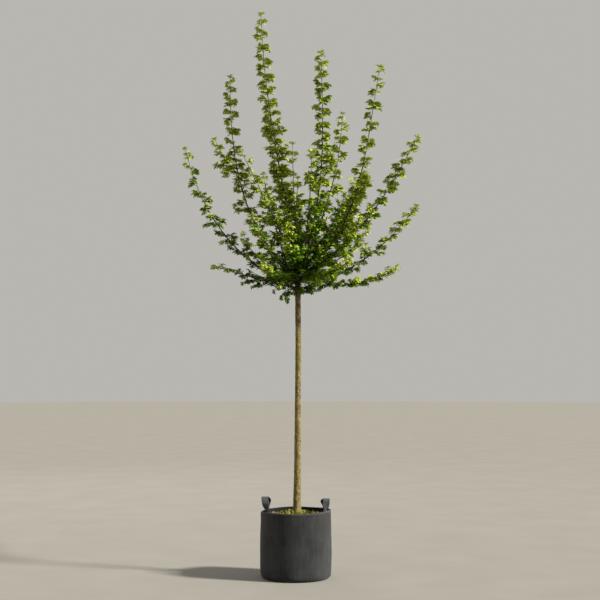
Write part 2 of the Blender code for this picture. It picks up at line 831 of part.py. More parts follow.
def build_foliage(name, wands):
    growth = Growth(name, wands)
    main, *side_wands = growth.wands
    base = stem_object("foliage_" + name, main, None, wands[name][1])
    parts = bpy.data.collections.new("parts of " + name)
    bpy.context.scene.collection.children.link(parts)
    for i, stem in enumerate((*side_wands, *growth.twigs)):
        stem_object(f"stem {i}", stem, parts)
    for i, shape in enumerate(growth.leaves):
        add_object(f"leaf {i}", shape, LEAF_FACES, "leaf", parts)
    join_all(base, parts)
    drop_scraps(base)
    return growth


def clear_scene():
    for made in list(bpy.data.objects):
        bpy.data.objects.remove(made)


def build_tree():
    build_trunk()
    for name in BOUGHS:
        build_bough(name)
    wands = all_wands()
    for name in wands:
        build_foliage(name, wands)


def main():
    clear_scene()
    build_bag()
    build_soil()
    build_handle("handle_left", -1, LEFT_ARCH_RISE, LEFT_ARCH_LEAN)
    build_handle("handle_right", 1, RIGHT_ARCH_RISE, RIGHT_ARCH_LEAN)
    build_tree()


main()
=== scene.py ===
"""Looks of a young standard hawthorn tree in a felt planting bag with two loop handles.

Metres, +Z up, +Y away from the camera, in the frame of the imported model. The crown follows the same
table of shoots and the same growth rule as the model's source, carried on to spurs with clusters of
small lobed leaves.
"""

import json
import math
import random

import bmesh
import bpy
import numpy as np
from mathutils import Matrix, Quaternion, Vector, noise

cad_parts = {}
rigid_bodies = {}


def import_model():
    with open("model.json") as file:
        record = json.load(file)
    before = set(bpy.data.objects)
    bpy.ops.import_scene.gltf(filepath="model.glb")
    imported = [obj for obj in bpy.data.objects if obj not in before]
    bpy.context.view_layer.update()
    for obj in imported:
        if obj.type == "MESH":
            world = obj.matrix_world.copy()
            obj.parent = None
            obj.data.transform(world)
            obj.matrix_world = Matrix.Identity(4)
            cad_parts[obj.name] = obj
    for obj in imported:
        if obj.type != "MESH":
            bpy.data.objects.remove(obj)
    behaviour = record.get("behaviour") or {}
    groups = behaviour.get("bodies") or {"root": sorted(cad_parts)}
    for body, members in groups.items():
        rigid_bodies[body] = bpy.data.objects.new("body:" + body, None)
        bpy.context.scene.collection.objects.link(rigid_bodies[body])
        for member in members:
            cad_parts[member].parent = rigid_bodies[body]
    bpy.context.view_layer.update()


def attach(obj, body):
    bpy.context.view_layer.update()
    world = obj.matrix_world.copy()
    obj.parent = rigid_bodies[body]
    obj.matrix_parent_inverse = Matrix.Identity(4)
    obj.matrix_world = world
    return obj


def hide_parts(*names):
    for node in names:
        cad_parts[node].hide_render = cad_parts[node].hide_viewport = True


for leftover in list(bpy.data.objects):
    bpy.data.objects.remove(leftover)
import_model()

# Camera, as far away and as high as in the photograph
CAMERA_PLACE = (0.021, -6.07, 1.05)
CAMERA_PITCH = 3.73
CAMERA_LENS = 69
CAMERA_SENSOR = 36

# Lights: place, target, size in degrees for the sun and in metres for the lamp, strength and colour
SUN_LIGHT = ((5.9, -1.9, 5.6), (0, 0, 1.3), 7, 6.9, (1.0, 0.96, 0.88))
BACK_LAMP = ((-2.5, 5.5, 4.5), (0, 0, 1.6), 3.5, 60, (1.0, 0.98, 0.94))
SKY_TONE = (232, 229, 222)
SKY_STRENGTH = 0.60
FLOOR_RADIUS = 40
FLOOR_SIDES = 96
FLOOR_DROP = 0.0005

# Planting bag: profile of the outer wall as height and how far it lies inside the widest radius
BAG_HEIGHT = 0.345
BAG_WALL = 0.005
BAG_RADIUS = 0.1863
BAG_PROFILE = (
    (0.000, 0.0190),
    (0.004, 0.0100),
    (0.013, 0.0040),
    (0.035, 0.0012),
    (0.110, 0.0000),
    (0.230, 0.0010),
    (0.310, 0.0030),
    (BAG_HEIGHT, 0.0046),
)
BAG_SIDES = 224
BAG_RING_STEP = 0.005
BAG_FOOT_TOP = 0.030
BAG_FOOT_HEIGHTS = (0.0, 0.0012, 0.0030, 0.0055, 0.009, 0.013, 0.018, 0.024)
BAG_LEVEL_SHARE = 0.1
UNDERSIDE_RADII = (0.060, 0.120)
PROFILE_BLUR = 0.012
FOOT_BLUR = 0.001
RIM_TILT = 0.0045
RIM_TILT_AZIMUTH = -30
RIM_RIPPLE = 0.0018
RIM_RIPPLE_WAVES = 3
RIM_RIPPLE_PHASE = 40
RIM_UNEVENNESS = 0.0011
HEM_DEPTH = 0.019
HEM_THICKNESS = 0.0007
HEM_SOFTNESS = 0.002
HEM_RING_STEPS = (-0.002, 0.0, 0.0015, 0.003, 0.0045, 0.006)
SEAM_AZIMUTH = 118
SEAM_WIDTH = 0.007
SEAM_THICKNESS = 0.0012
SEAM_SOFTNESS = 0.0015
RIM_STEPS = 6
BAG_INSIDE = ((0.179, 0.09), (0.176, 0.02), (0.160, BAG_WALL), (0.060, BAG_WALL))
INNER_WALL_SHARES = (0.55, 0.97)

# Folds of the soft wall, deepest near the rim
SWELL_DEPTH = 0.0022
FOLD_DEPTH = 0.0009
UPRIGHT_FOLD_DEPTH = 0.0006
RIM_FOLD_DEPTH = 0.0012
RIM_FOLDS_FROM = 0.22
RIM_FOLDS_WITHIN = 0.12

# Stitches, and the depth and width of the grooves that they pull in
THREAD_RADII = (0.0003, 0.0005, 0.00055, 0.0005, 0.0003)
THREAD_RISE = 0.0006
THREAD_SUNK = 0.0003
THREAD_SIDES = 5
HEM_STITCHES = 250
HEM_STITCH_LENGTH = 0.0032
HEM_STITCH_INSET = 0.003
HEM_GROOVE = (0.0008, 0.0014)
SEAM_STITCH_INSET = 0.0025
SEAM_GROOVE = (0.0007, 0.0009)
STRAP_STITCH_LENGTH = 0.0036
STRAP_STITCH_INSET = 0.0045

# Handles
STRAP_WIDTH = 0.035
STRAP_THICKNESS = 0.0038
STRAP_AZIMUTH = 29
STRAP_LEG_STEPS = 8
STRAP_STEPS = 26
STRAP_SIDES = 20
STRAP_EDGES = (0.35, 0.7)
STRAP_CUP = 0.0008
STRAP_FUZZ = 0.00025
STRAP_CLEARANCE = 0.0012
STRAP_BEND_RISE = 0.009
STRAP_TURN_RATE = 1.7
ARCH_OUTWARD = 0.002
BACK_BOW = 0.009
ARCH_SQUARENESS = 0.9
LEFT_ARCH_RISE = 0.068
RIGHT_ARCH_RISE = 0.058
LEFT_ARCH_LEAN = 0.0095
RIGHT_ARCH_LEAN = 0.0055

# Compost
SOIL_TOP = 0.3290
SOIL_MOUND = 0.010
SOIL_SIDES = 120
SOIL_RINGS = 44
SOIL_LEVEL_SHARE = 0.22
SOIL_FALL_POWER = 1.3
SOIL_SINK = 0.0006
SOIL_GAP = 0.0006
SOIL_SIDE = ((0.004, 0.24), (0, 0.30))

# Roughness of the compost: depth, how fine it is, and a layer of the pattern of its own
SOIL_ROUGHNESS = ((0.0022, 45, 0), (0.0011, 140, 2))

# Crumbs on the compost, and pale bits beside the rim that stand for a painted patch of sunlight
CRUMBS = 1500
CRUMB_SIZES = (0.0016, 0.0060)
CRUMB_EDGE = 0.010
CRUMB_LIFT = 0.2
STEM_CLEARANCE = 0.034
PALE_SUNLIT_BITS = 170
PALE_SUNLIT_BIT_AZIMUTHS = (148, 172)
PALE_SUNLIT_BIT_RADII = (0.082, 0.152)
PALE_SUNLIT_BIT_SIZES = (0.002, 0.0045)
PALE_SUNLIT_BIT_LIFT = 0.002

# A crumb's corners: round its side, then its top and its underside
CHIP_CORNERS = (
    (1, 0, 0),
    (0.2, 0.48, 0.05),
    (-0.9, 0.18, 0),
    (-0.5, -0.42, 0),
    (0.5, -0.42, 0.05),
    (0, 0, 0.35),
    (0, 0, -0.30),
)

# Tufts of moss round the stem
MOSS_TUFTS = 210
MOSS_RADII = (0.028, 0.100)
MOSS_SHIFT = 0.010
MOSS_HEIGHTS = (0.007, 0.022)
MOSS_BLADES = (7, 13)
MOSS_SPREAD = 0.0045
MOSS_LIMIT = 0.165
MOSS_SUNK = 0.001
BLADE_STEPS = 3

# Trunk: height of each ring, its radius and the sideways place of its centre
TRUNK_RINGS = (
    (0.3293, 0.0245, 0.001),
    (0.341, 0.0225, 0.003),
    (0.363, 0.0205, 0.005),
    (0.420, 0.0195, 0.006),
    (0.560, 0.0178, 0.008),
    (0.760, 0.0165, 0.009),
    (0.960, 0.0152, 0.010),
    (1.200, 0.0147, 0.012),
    (1.440, 0.0145, 0.010),
    (1.500, 0.0148, 0.009),
    (1.560, 0.0140, 0.008),
    (1.620, 0.0122, 0.006),
    (1.668, 0.0100, 0.005),
)
TRUNK_SIDES = 48
TRUNK_STEP = 0.004
TRUNK_FOOT_SWELL = 0.0060
TRUNK_FOOT_LOBES = 5
TRUNK_FLARE_HEIGHT = 0.05
TRUNK_KNOBS = 110
KNOB_HEIGHTS = (0.0004, 0.0013)
KNOB_WIDTHS = (0.003, 0.0075)
KNOB_REACH = 0.02
KNOB_STRETCH = 0.8

# Ridges of the bark: depth, how fine they are round the trunk and up it
RIDGES = ((0.0010, 60, 22), (0.0005, 260, 70))
RIDGE_RADIUS = 0.02

# Bark: green growth as height and how much of it, from 0 to 255, where the bark turns grey, and where
# painted shade of the crown darkens it
BARK_BANDS_TOP = 1.7
BARK_BANDS = (
    (0.33, 245),
    (0.40, 150),
    (0.48, 190),
    (0.58, 205),
    (0.70, 120),
    (0.96, 100),
    (1.08, 235),
    (1.20, 225),
    (1.32, 90),
    (1.48, 0),
)
GREY_BARK_HEIGHTS = (1.28, 1.46)
CROWN_SHADE_BARK_HEIGHTS = (1.43, 1.52)

# Clear space between a limb and what grows from it
GAP = 0.0003

# Boughs: azimuth and height of the foot on the trunk, reach and height of the fork, radius at the foot
BOUGH_STEPS = 4
BOUGH_FOOT_SLOPE = 0.8
BOUGH_TIP_SLOPE = 1.1
BOUGH_TIP_RADIUS = 0.0070
BOUGH_SIDES = 16
BARK_BOUGH_STEPS = 16
SPRAY_BOUGH_STEPS = 8
BOUGH_SUNK = 0.010
BOUGH_ROUGHNESS = 0.0009
BOUGH_BUMP_SEED = 1
COLLAR = 0.0035
COLLAR_SHARE = 0.3
BOUGHS = {
    "left_low": (180, 1.508, 0.085, 1.540, 0.0080),
    "right_low": (0, 1.504, 0.085, 1.526, 0.0080),
    "back_left_low": (115, 1.530, 0.070, 1.560, 0.0072),
    "back_right_low": (57, 1.538, 0.070, 1.570, 0.0072),
    "front_left_low": (245, 1.524, 0.070, 1.556, 0.0072),
    "front_right_low": (303, 1.540, 0.070, 1.570, 0.0072),
    "right": (0, 1.560, 0.065, 1.604, 0.0080),
    "left": (150, 1.574, 0.065, 1.618, 0.0080),
    "front": (275, 1.576, 0.068, 1.612, 0.0072),
    "back_right": (42, 1.600, 0.065, 1.656, 0.0076),
    "front_right": (318, 1.612, 0.052, 1.672, 0.0076),
    "front_left": (228, 1.624, 0.052, 1.690, 0.0072),
    "back": (92, 1.634, 0.055, 1.695, 0.0072),
}

# Shoots on boughs: bough, furthest leaf tip, slope in degrees at the bough and at the end, how
# closely the sprays follow each other at the foot and at the tip, and painted light added to the leaf tints
SHOOTS = {
    "leader": ("trunk", (-0.19, 0.06, 3.02), 79, 88, (3.20, 1.22), 0.40),
    "left_outer": ("left_low", (-0.60, 0.05, 2.28), 27, 76, (1.00, 0.80), 0),
    "left_low": ("left_low", (-0.44, -0.08, 1.62), 6, 14, (1.60, 1.20), 0),
    "right_outer": ("right_low", (0.66, 0.10, 1.97), 18, 52, (1.15, 1.35), 0.16),
    "right_low": ("right_low", (0.53, -0.10, 1.62), 0, 38, (1.60, 1.60), 0.20),
    "right_wide": ("right", (0.65, -0.05, 2.32), 32, 62, (1.60, 1.50), 0.20),
    "right_tall": ("right", (0.46, 0.12, 2.74), 43, 79, (1.65, 0.95), 0.27),
    "left_tall": ("left", (-0.36, 0.12, 2.69), 46, 90, (1.15, 1.50), 0.50),
    "back_left_tall": ("left", (-0.19, 0.32, 2.19), 58, 66, (1.10, 1.15), 0.15),
    "left_inner": ("front_left", (-0.29, -0.18, 2.22), 64, 60, (1.50, 0.80), 0.21),
    "front_middle": ("front_left", (0.01, -0.26, 2.07), 52, 80, (0.60, 0.50), 0.02),
    "middle_tall": ("front_right", (0.13, -0.10, 2.76), 68, 93, (2.20, 1.80), 0.20),
    "front_right_tall": ("front_right", (0.08, -0.32, 2.19), 50, 84, (0.60, 0.65), 0.08),
    "back_middle": ("back", (-0.02, 0.28, 2.35), 66, 86, (0.45, 0.75), 0),
    "back_high": ("back", (0.02, 0.55, 2.03), 30, 60, (0.70, 1.00), 0),
    "back_right_tall": ("back_right", (0.26, 0.30, 2.53), 58, 86, (1.20, 1.10), 0.38),
    "back_right_mid": ("back_right", (0.39, 0.27, 2.18), 42, 70, (3.60, 3.60), 0.74),
    "back_left_outer": ("back_left_low", (-0.31, 0.48, 1.87), 22, 55, (0.70, 1.00), 0),
    "back_left_low": ("back_left_low", (-0.17, 0.52, 1.66), 4, 30, (0.70, 1.00), 0),
    "back_right_outer": ("back_right_low", (0.41, 0.45, 1.90), 26, 55, (0.70, 1.00), 0.08),
    "back_right_low": ("back_right_low", (0.25, 0.56, 1.69), 4, 30, (0.70, 1.00), 0),
    "front_left_outer": ("front_left_low", (-0.22, -0.42, 1.85), 26, 58, (1.00, 1.00), 0),
    "front_left_low": ("front_left_low", (-0.16, -0.50, 1.60), 2, 24, (1.50, 1.00), 0),
    "front_right_outer": ("front_right_low", (0.32, -0.42, 1.84), 24, 56, (1.20, 1.20), 0.08),
    "front_right_low": ("front_right_low", (0.27, -0.48, 1.62), 2, 24, (1.50, 1.20), 0.12),
    "front_low": ("front", (-0.04, -0.55, 1.79), 12, 46, (1.50, 1.00), 0.03),
    "front_right_mid": ("front", (0.25, -0.32, 1.97), 38, 66, (1.50, 1.00), 0),
}

# Short shoots straight from the trunk: azimuth and height of the foot, then as above
TRUNK_SHOOTS = {
    "low_left": (205, 1.494, (-0.076, -0.05, 1.432), 40, -85, (1.50, 1.30), 0),
    "low_right": (328, 1.484, (0.14, -0.10, 1.505), 5, 20, (1.10, 1.20), 0),
    "low_back": (85, 1.490, (0.02, 0.17, 1.50), 0, 20, (1.00, 1.00), 0),
    "low_front": (272, 1.482, (0.03, -0.16, 1.51), 0, 20, (0.90, 1.00), 0.05),
    "spur_front_left": (210, 1.566, (-0.13, -0.10, 1.66), 35, 50, (1.50, 1.50), 0),
    "spur_front_right": (335, 1.590, (0.13, -0.08, 1.71), 45, 65, (1.50, 1.50), 0),
    "spur_front": (255, 1.596, (-0.04, -0.17, 1.72), 30, 60, (1.00, 1.00), 0.05),
    "spur_back": (110, 1.590, (-0.04, 0.17, 1.68), 30, 55, (0.70, 0.70), 0),
    "spur_back_right": (20, 1.545, (0.15, 0.09, 1.62), 25, 45, (0.70, 0.70), 0),
}

# Second wands that fork from a shoot: where along it, and their tip
SIDE_WANDS = {
    "left_tall": ((0.50, (-0.43, 0.03, 2.30)),),
    "low_left": ((0.40, (-0.045, -0.035, 1.450)),),
}

ROUTE_PULL = 0.36
ROUTE_STEP = 0.016
TIP_REACH = 0.030
STEM_FOOT_RADIUS = 0.0052
SPUR_FOOT_RADIUS = 0.0034
STEM_TIP_RADIUS = 0.0011
STEM_FOOT_SUNK = 0.012
STEM_FOOT_SWELL = 1.15
FORK_OFFSET = 0.0058
SIDE_WAND_RISE = 0.6
SIDE_WAND_RADIUS = 0.0030
STEM_SIDES = 7
STEM_KINK = 0.0009
STEM_KINKS_FROM = 0.05
YOUNG_WOOD_SHARE = 0.62

# Room round each shoot; leaves of neighbours may mingle a little
SAMPLE_STEP = 0.012
TWIG_MARGIN = 0.0022
SPRAY_MINGLE = 0.020
LIMB_MARGIN = 0.0022
TRUNK_SAMPLES = 40
TRUNK_SAMPLES_FROM = 1.35

# Twigs, longest near the foot of their wand
TWIG_START = 0.06
TWIG_SPACING = 0.105
TWIG_ZONE = 0.52
TWIG_LONGEST = 0.115
TWIG_SHORTEST = 0.060
TWIG_SIZES = (1.0, 0.8, 0.6)
TWIG_TURNS = (0, 60, -60, 120, -120)
TWIG_ANGLE = 52
TWIG_RISE = 0.18
TWIG_END_RISE = 0.35
TWIG_END_ROOM = 0.012
TWIG_RADIUS = 0.0022
TWIG_STEPS = 5
TWIG_SIDES = 5
TWIG_YOUNG_LENGTH = 0.05

# Sprays: a short spur with a fan of leaves that arch outward and droop at their ends. Two stand
# close together at each node, and the nodes turn round their stem by the golden angle
GOLDEN_ANGLE = 137.5
TURN_SPREAD = 15
SPACING_SPREAD = 0.32
SPRAY_START = 0.014
SPRAY_END_ROOM = 0.006
SPRAY_SPACING = 0.0240
YOUNG_SPACING = 0.62
BOUGH_SPRAY_SPACING = 0.013
NODE_STEPS = (0.45, 1.55)
NODE_TURNS = (55, GOLDEN_ANGLE - 55)
SPRAY_SIZES = (1.0, 0.85, 0.7)
SPRAY_TURNS = (0, 50, -50)
SPRAY_ANGLE = 58
SPRAY_ANGLE_SPREAD = 12
SPRAY_MIDDLE = 0.6
SPUR_LENGTHS = (0.011, 0.026)
LONG_SPUR_LENGTHS = (0.018, 0.050)
LONG_SPUR_ZONE = 0.55
SPUR_RADII = (0.0009 * 1.5, 0.0009)
SPUR_SIDES = 4

# Leaves of a spray: smaller low in the middle of the crown and at the young tips
LEAVES_LOW = 12.4
LEAVES_HIGH = 15.6
LEAVES_SPREAD = 1.4
LEAF_LENGTH = 0.0308
LEAF_SIZES = (0.74, 1.12)
LEAF_REACH = 0.036
LOW_LEAF_SCALE = 0.76
SCALE_SPREAD = 0.14
SCALE_HEIGHTS = (1.62, 2.05)
SCALE_REACHES = (0.22, 0.45)
SPUR_PLACES = (0.30, 1.0)
FAN_TURN = 78
FAN_TURN_SPREAD = 12
FAN_RISE = 30
FAN_RISE_SPREAD = 21
FAN_FALL = 0.6
TUFT_INSET = 0.001
TUFT_ANGLE = 5
TUFT_LEANS = (14, 58)
TUFT_EXTRA = 4
LEAF_LEAN = 0.25
LEAF_ROLL = 36
YOUNG_LENGTH = 0.20
YOUNG_SCALE = 0.72
MATURE_KINDS = 6
YOUNG_KINDS = 3
YOUNG_WIDTH = 0.66
PETIOLE = 0.34
PETIOLE_WIDTHS = (0.022, 0.016)
CROWN_FLOOR = 1.478
TALL_TIP = 2.72

# Shoots whose sprays hang down beside the trunk, below the floor of the crown, and how low
HANGING_SHOOTS = {"low_left": 1.418}
HANG_PULL = 1.2
HANG_RISE = -50

# Painted light and shade in a spray's tint: from the shaded middle of the crown outward and upward, and
# toward the young tips
MIDDLE_TONE = 0.17
OPEN_TONE = 0.36
OPEN_HEIGHTS = (1.58, 2.08)
OPEN_REACHES = (0.1, 0.5)
TONE_SPREAD = 0.05
YOUNG_LIGHT = 0.32
FRONT_YOUNG_LIGHT = 0.15
SHADE_LIFT = 0.12
SHADE_LIFT_HEIGHTS = (2.15, 2.6)
TINT_STEPS = (0, 0, 0, -1, 1)

# Leaf tints from painted shade in the middle of the crown to the young tips, lighter partly as painted light
LEAF_TINTS = (
    (53, 80, 7),
    (69, 100, 9),
    (85, 117, 10),
    (103, 136, 19),
    (120, 151, 30),
    (145, 166, 48),
    (166, 180, 69),
)

# Tint of the youngest leaves, at the tips of wands that stand in the light: their own paler colour with
# painted light shining through them
YOUNG_TINT = (177, 189, 63)
YOUNG_TINT_FROM = 5


# Small helpers


def linear(channel):
    value = channel / 255
    return value / 12.92 if value <= 0.04045 else ((value + 0.055) / 1.055) ** 2.4


def colour(rgb):
    return (*[linear(c) for c in rgb], 1)


def lerp(a, b, t):
    return a + (b - a) * t


def smooth(t):
    t = min(max(t, 0), 1)
    return t * t * (3 - 2 * t)


def rising(value, limits):
    """From 0 at the lower limit to 1 at the upper one, with soft ends."""
    low, high = limits
    return smooth((value - low) / (high - low))


def turns(count):
    """Azimuths that divide a full turn evenly, in degrees."""
    return [360 * i / count for i in range(count)]


def turn_between(azimuth, other):
    return (azimuth - other + 180) % 360 - 180


def around(azimuth, elevation=0):
    """Unit vector at an azimuth from +X and an elevation above level, in degrees."""
    a, e = math.radians(azimuth), math.radians(elevation)
    return Vector((math.cos(a) * math.cos(e), math.sin(a) * math.cos(e), math.sin(e)))


def place_at(azimuth, radius, z):
    return around(azimuth) * radius + Vector((0, 0, z))


def gathered(points):
    return np.array([tuple(p) for p in points])


class Bundle:
    """Points and faces of one joined mesh, each face with the number of its material."""

    def __init__(self):
        self.points = []
        self.faces = []
        self.looks = []

    def add(self, points, faces, look=0):
        """Adds a form in one material, or in a list with the number of each face's material."""
        first = len(self.points)
        self.points += [tuple(p) for p in points]
        self.faces += [tuple(first + i for i in face) for face in faces]
        self.looks += look if isinstance(look, list) else [look] * len(faces)

    def build(self, name, materials, replaced=(), smooth_faces=True):
        """An object that rides on the model's body and stands for the replaced nodes."""
        mesh = bpy.data.meshes.new(name)
        mesh.from_pydata(self.points, [], self.faces)
        mesh.polygons.foreach_set("material_index", self.looks)
        mesh.polygons.foreach_set("use_smooth", [smooth_faces] * len(self.faces))
        for material in materials:
            mesh.materials.append(material)
        mesh.update()
        piece = bpy.data.objects.new(name, mesh)
        bpy.context.scene.collection.objects.link(piece)
        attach(piece, "root")
        if replaced:
            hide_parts(*replaced)


def ring_faces(rings, sides):
    """Quads between rings of equal size, with the first and the last ring filled."""
    faces = []
    for ring in range(rings - 1):
        for side in range(sides):
            a = ring * sides + side
            b = ring * sides + (side + 1) % sides
            faces.append((a, b, b + sides, a + sides))
    faces.append(tuple(range(sides))[::-1])
    faces.append(tuple(range((rings - 1) * sides, rings * sides)))
    return faces


# Materials


def painted(value):
    """A colour for a material's input, from RGB numbers or from the output of a node."""
    return colour(value) if isinstance(value, tuple) else value


class Look:
    """A Principled material whose colour, roughness and relief come from nodes."""

    def __init__(self, name, roughness, specular=0.3):
        self.material = bpy.data.materials.new(name)
        self.material.use_nodes = True
        self.tree = self.material.node_tree
        self.shader = self.tree.nodes["Principled BSDF"]
        self.feed(self.shader, {"Roughness": roughness, "Specular IOR Level": specular})
        self.place = self.node("ShaderNodeTexCoord", {}).outputs["Object"]

    def feed(self, node, inputs):
        """Sets inputs of a node, by name or number, or joins them to the outputs of other nodes."""
        for key, value in inputs.items():
            if isinstance(value, bpy.types.NodeSocket):
                self.tree.links.new(value, node.inputs[key])
            else:
                node.inputs[key].default_value = value

    def node(self, kind, inputs, **settings):
        made = self.tree.nodes.new(kind)
        for key, value in settings.items():
            setattr(made, key, value)
        self.feed(made, inputs)
        return made

    def stretched(self, z):
        """The place on the object with its height scaled."""
        return self.node("ShaderNodeMapping", {"Vector": self.place, "Scale": (1, 1, z)}).outputs["Vector"]

    def noise(self, scale, detail=4, roughness=0.55, vector=None, distortion=0):
        inputs = {"Scale": scale, "Detail": detail, "Roughness": roughness, "Distortion": distortion}
        made = self.node("ShaderNodeTexNoise", {"Vector": vector or self.place, **inputs})
        return made.outputs["Fac"]

    def cells(self, scale, vector):
        return self.node("ShaderNodeTexVoronoi", {"Vector": vector, "Scale": scale}).outputs["Distance"]

    def height(self):
        return self.node("ShaderNodeSeparateXYZ", {0: self.place}).outputs["Z"]

    def between(self, source, low, high, out_low=0.0, out_high=1.0):
        inputs = {"Value": source, "From Min": low, "From Max": high, "To Min": out_low, "To Max": out_high}
        return self.node("ShaderNodeMapRange", inputs, interpolation_type="SMOOTHSTEP").outputs["Result"]

    def maths(self, operation, a, b):
        return self.node("ShaderNodeMath", {0: a, 1: b}, operation=operation).outputs["Value"]

    def times(self, a, b):
        return self.maths("MULTIPLY", a, b)

    def plus(self, a, b):
        return self.maths("ADD", a, b)

    def ramp(self, source, *stops):
        made = self.node("ShaderNodeValToRGB", {"Fac": source})
        elements = made.color_ramp.elements
        while len(elements) < len(stops):
            elements.new(0.5)
        for element, (place, rgb) in zip(elements, stops):
            element.position = place
            element.color = colour(rgb)
        return made.outputs["Color"]

    def mixed(self, share, a, b):
        """The first colour with a share of the second over it."""
        made = self.node("ShaderNodeMix", {"Factor": share}, data_type="RGBA")
        first, second = [i for i, socket in enumerate(made.inputs) if socket.type == "RGBA"]
        self.feed(made, {first: painted(a), second: painted(b)})
        return next(socket for socket in made.outputs if socket.type == "RGBA")

    def coloured(self, source):
        self.feed(self.shader, {"Base Color": painted(source)})

    def bumped(self, source, distance):
        made = self.node("ShaderNodeBump", {"Height": source, "Distance": distance})
        self.feed(self.shader, {"Normal": made.outputs["Normal"]})


def plain_look(name, rgb, roughness, specular=0.35):
    made = Look(name, roughness, specular)
    made.coloured(rgb)
    return made.material


def bark_look():
    """Olive and grey young bark: green algae in bands, dark mottling, pale lichen, fine relief and painted
    crown shade at the top.
    """
    made = Look("bark", 0.85, 0.25)
    patches = made.noise(62, 5, 0.66, made.stretched(0.5), 0.3)
    base = made.ramp(patches, (0.32, (66, 54, 31)), (0.47, (110, 95, 60)), (0.60, (144, 127, 87)))
    share_of_height = made.maths("DIVIDE", made.height(), BARK_BANDS_TOP)
    bands = made.ramp(share_of_height, *[(z / BARK_BANDS_TOP, (tone, tone, tone)) for z, tone in BARK_BANDS])
    algae = made.between(made.noise(34, 4, 0.6, made.stretched(0.6)), 0.40, 0.60, 0.35, 1.0)
    greened = made.mixed(made.times(algae, bands), base, (116, 111, 42))
    lichen = made.between(made.noise(105, 4, 0.6, made.stretched(1.6)), 0.57, 0.66)
    lichened = made.mixed(made.times(lichen, 0.75), greened, (176, 164, 124))
    knots = made.between(made.cells(62, made.stretched(0.85)), 0.16, 0.34, 1.0, 0.0)
    often = made.between(made.noise(17, 2), 0.42, 0.56)
    spotted = made.mixed(made.times(knots, often), lichened, (52, 44, 26))
    flecks = made.between(made.noise(190, 3, 0.6, made.stretched(0.7)), 0.54, 0.64, 0.0, 0.6)
    flecked = made.mixed(flecks, spotted, (58, 48, 28))
    grey = made.ramp(patches, (0.3, (56, 49, 34)), (0.65, (126, 115, 82)))
    greyed = made.mixed(made.between(made.height(), *GREY_BARK_HEIGHTS, 0.0, 0.8), flecked, grey)
    # Painted shade: the bark darkens from just below the boughs upward, where the crown shades the trunk
    painted_crown_shade = made.between(made.height(), *CROWN_SHADE_BARK_HEIGHTS, 0.0, 0.85)
    made.coloured(made.mixed(painted_crown_shade, greyed, (34, 28, 20)))
    made.feed(made.shader, {"Roughness": made.between(patches, 0.3, 0.7, 0.78, 0.94)})
    grain = made.noise(240, 4, 0.6, made.stretched(0.4))
    made.bumped(made.plus(grain, made.times(knots, -0.5)), 0.0007)
    return made.material


def fuzzy(made, fibres, depth):
    """The sheen and the fine raised fibres of pressed felt."""
    made.feed(made.shader, {"Sheen Weight": 0.10, "Sheen Roughness": 0.6})
    made.bumped(made.plus(fibres, made.noise(900, 2)), depth)
    return made.material


def felt_look(name, dark, light):
    """Felt with a cloudy tone and short scratches."""
    made = Look(name, 0.95, 0.12)
    fibres = made.noise(420, 3, 0.7)
    tone = made.plus(made.times(made.noise(14, 4, 0.6), 0.5), made.times(fibres, 0.5))
    made.coloured(made.ramp(tone, (0.36, dark), (0.64, light)))
    return fuzzy(made, fibres, 0.0007)


def bag_felt_look():
    """Charcoal felt with upright streaks, paler flecks near the rim that are partly a painted highlight, and
    painted shade at the foot.
    """
    made = Look("felt", 0.95, 0.12)
    clouds = made.noise(10, 3, 0.6)
    streaks = made.noise(85, 3, 0.6, made.stretched(0.07))
    fibres = made.noise(420, 3, 0.7, made.stretched(0.6))
    slow = made.plus(made.times(clouds, 0.36), made.times(streaks, 0.22))
    base = made.ramp(made.plus(slow, made.times(fibres, 0.42)), (0.38, (29, 30, 31)), (0.62, (56, 58, 59)))
    # Paler flecks near the rim: partly lint of the felt, partly a painted highlight along the rim's edge
    near_rim = made.between(made.height(), BAG_HEIGHT - 0.012, BAG_HEIGHT + 0.002)
    lint = made.between(made.noise(300, 3, 0.6), 0.44, 0.60)
    pale_rim_and_highlight = made.mixed(made.times(near_rim, lint), base, (88, 85, 79))
    # Painted shade: the felt darkens toward the floor that the bag stands on
    painted_foot_shade = made.between(made.height(), 0.003, 0.030, 0.7, 0.0)
    made.coloured(made.mixed(painted_foot_shade, pale_rim_and_highlight, (20, 19, 18)))
    return fuzzy(made, fibres, 0.0008)


def compost_look():
    made = Look("compost", 0.97, 0.15)
    grains = made.noise(190, 5, 0.7)
    made.coloured(made.ramp(grains, (0.35, (17, 14, 9)), (0.5, (36, 29, 19)), (0.68, (70, 57, 37))))
    made.bumped(grains, 0.003)
    return made.material


def floor_look():
    made = Look("floor", 0.9, 0.2)
    made.coloured(made.ramp(made.noise(2.5, 3), (0.3, (138, 135, 129)), (0.7, (143, 140, 134))))
    return made.material


# Routes of boughs and shoots


def trunk_at(z):
    """Radius and centre of the trunk at a height."""
    for (z0, r0, x0), (z1, r1, x1) in zip(TRUNK_RINGS, TRUNK_RINGS[1:]):
        if z <= z1:
            t = max((z - z0) / (z1 - z0), 0)
            return lerp(r0, r1, t), Vector((lerp(x0, x1, t), 0, z))
    return r1, Vector((x1, 0, z))


def bezier(p0, p1, p2, p3, t):
    s = 1 - t
    return p0 * s**3 + p1 * (3 * s * s * t) + p2 * (3 * s * t * t) + p3 * t**3


def curve(start, out, finish, into, steps=None):
    """Points along a smooth curve that leaves `start` along `out` and reaches `finish` along `into`."""
    reach = (finish - start).length
    steps = steps or max(round(reach / ROUTE_STEP), 3)
    pull = reach * ROUTE_PULL
    p1 = start + out * pull
    p2 = finish - into * pull
    return [bezier(start, p1, p2, finish, i / steps) for i in range(steps + 1)]


def heading(start, finish):
    return math.degrees(math.atan2(finish.y - start.y, finish.x - start.x))


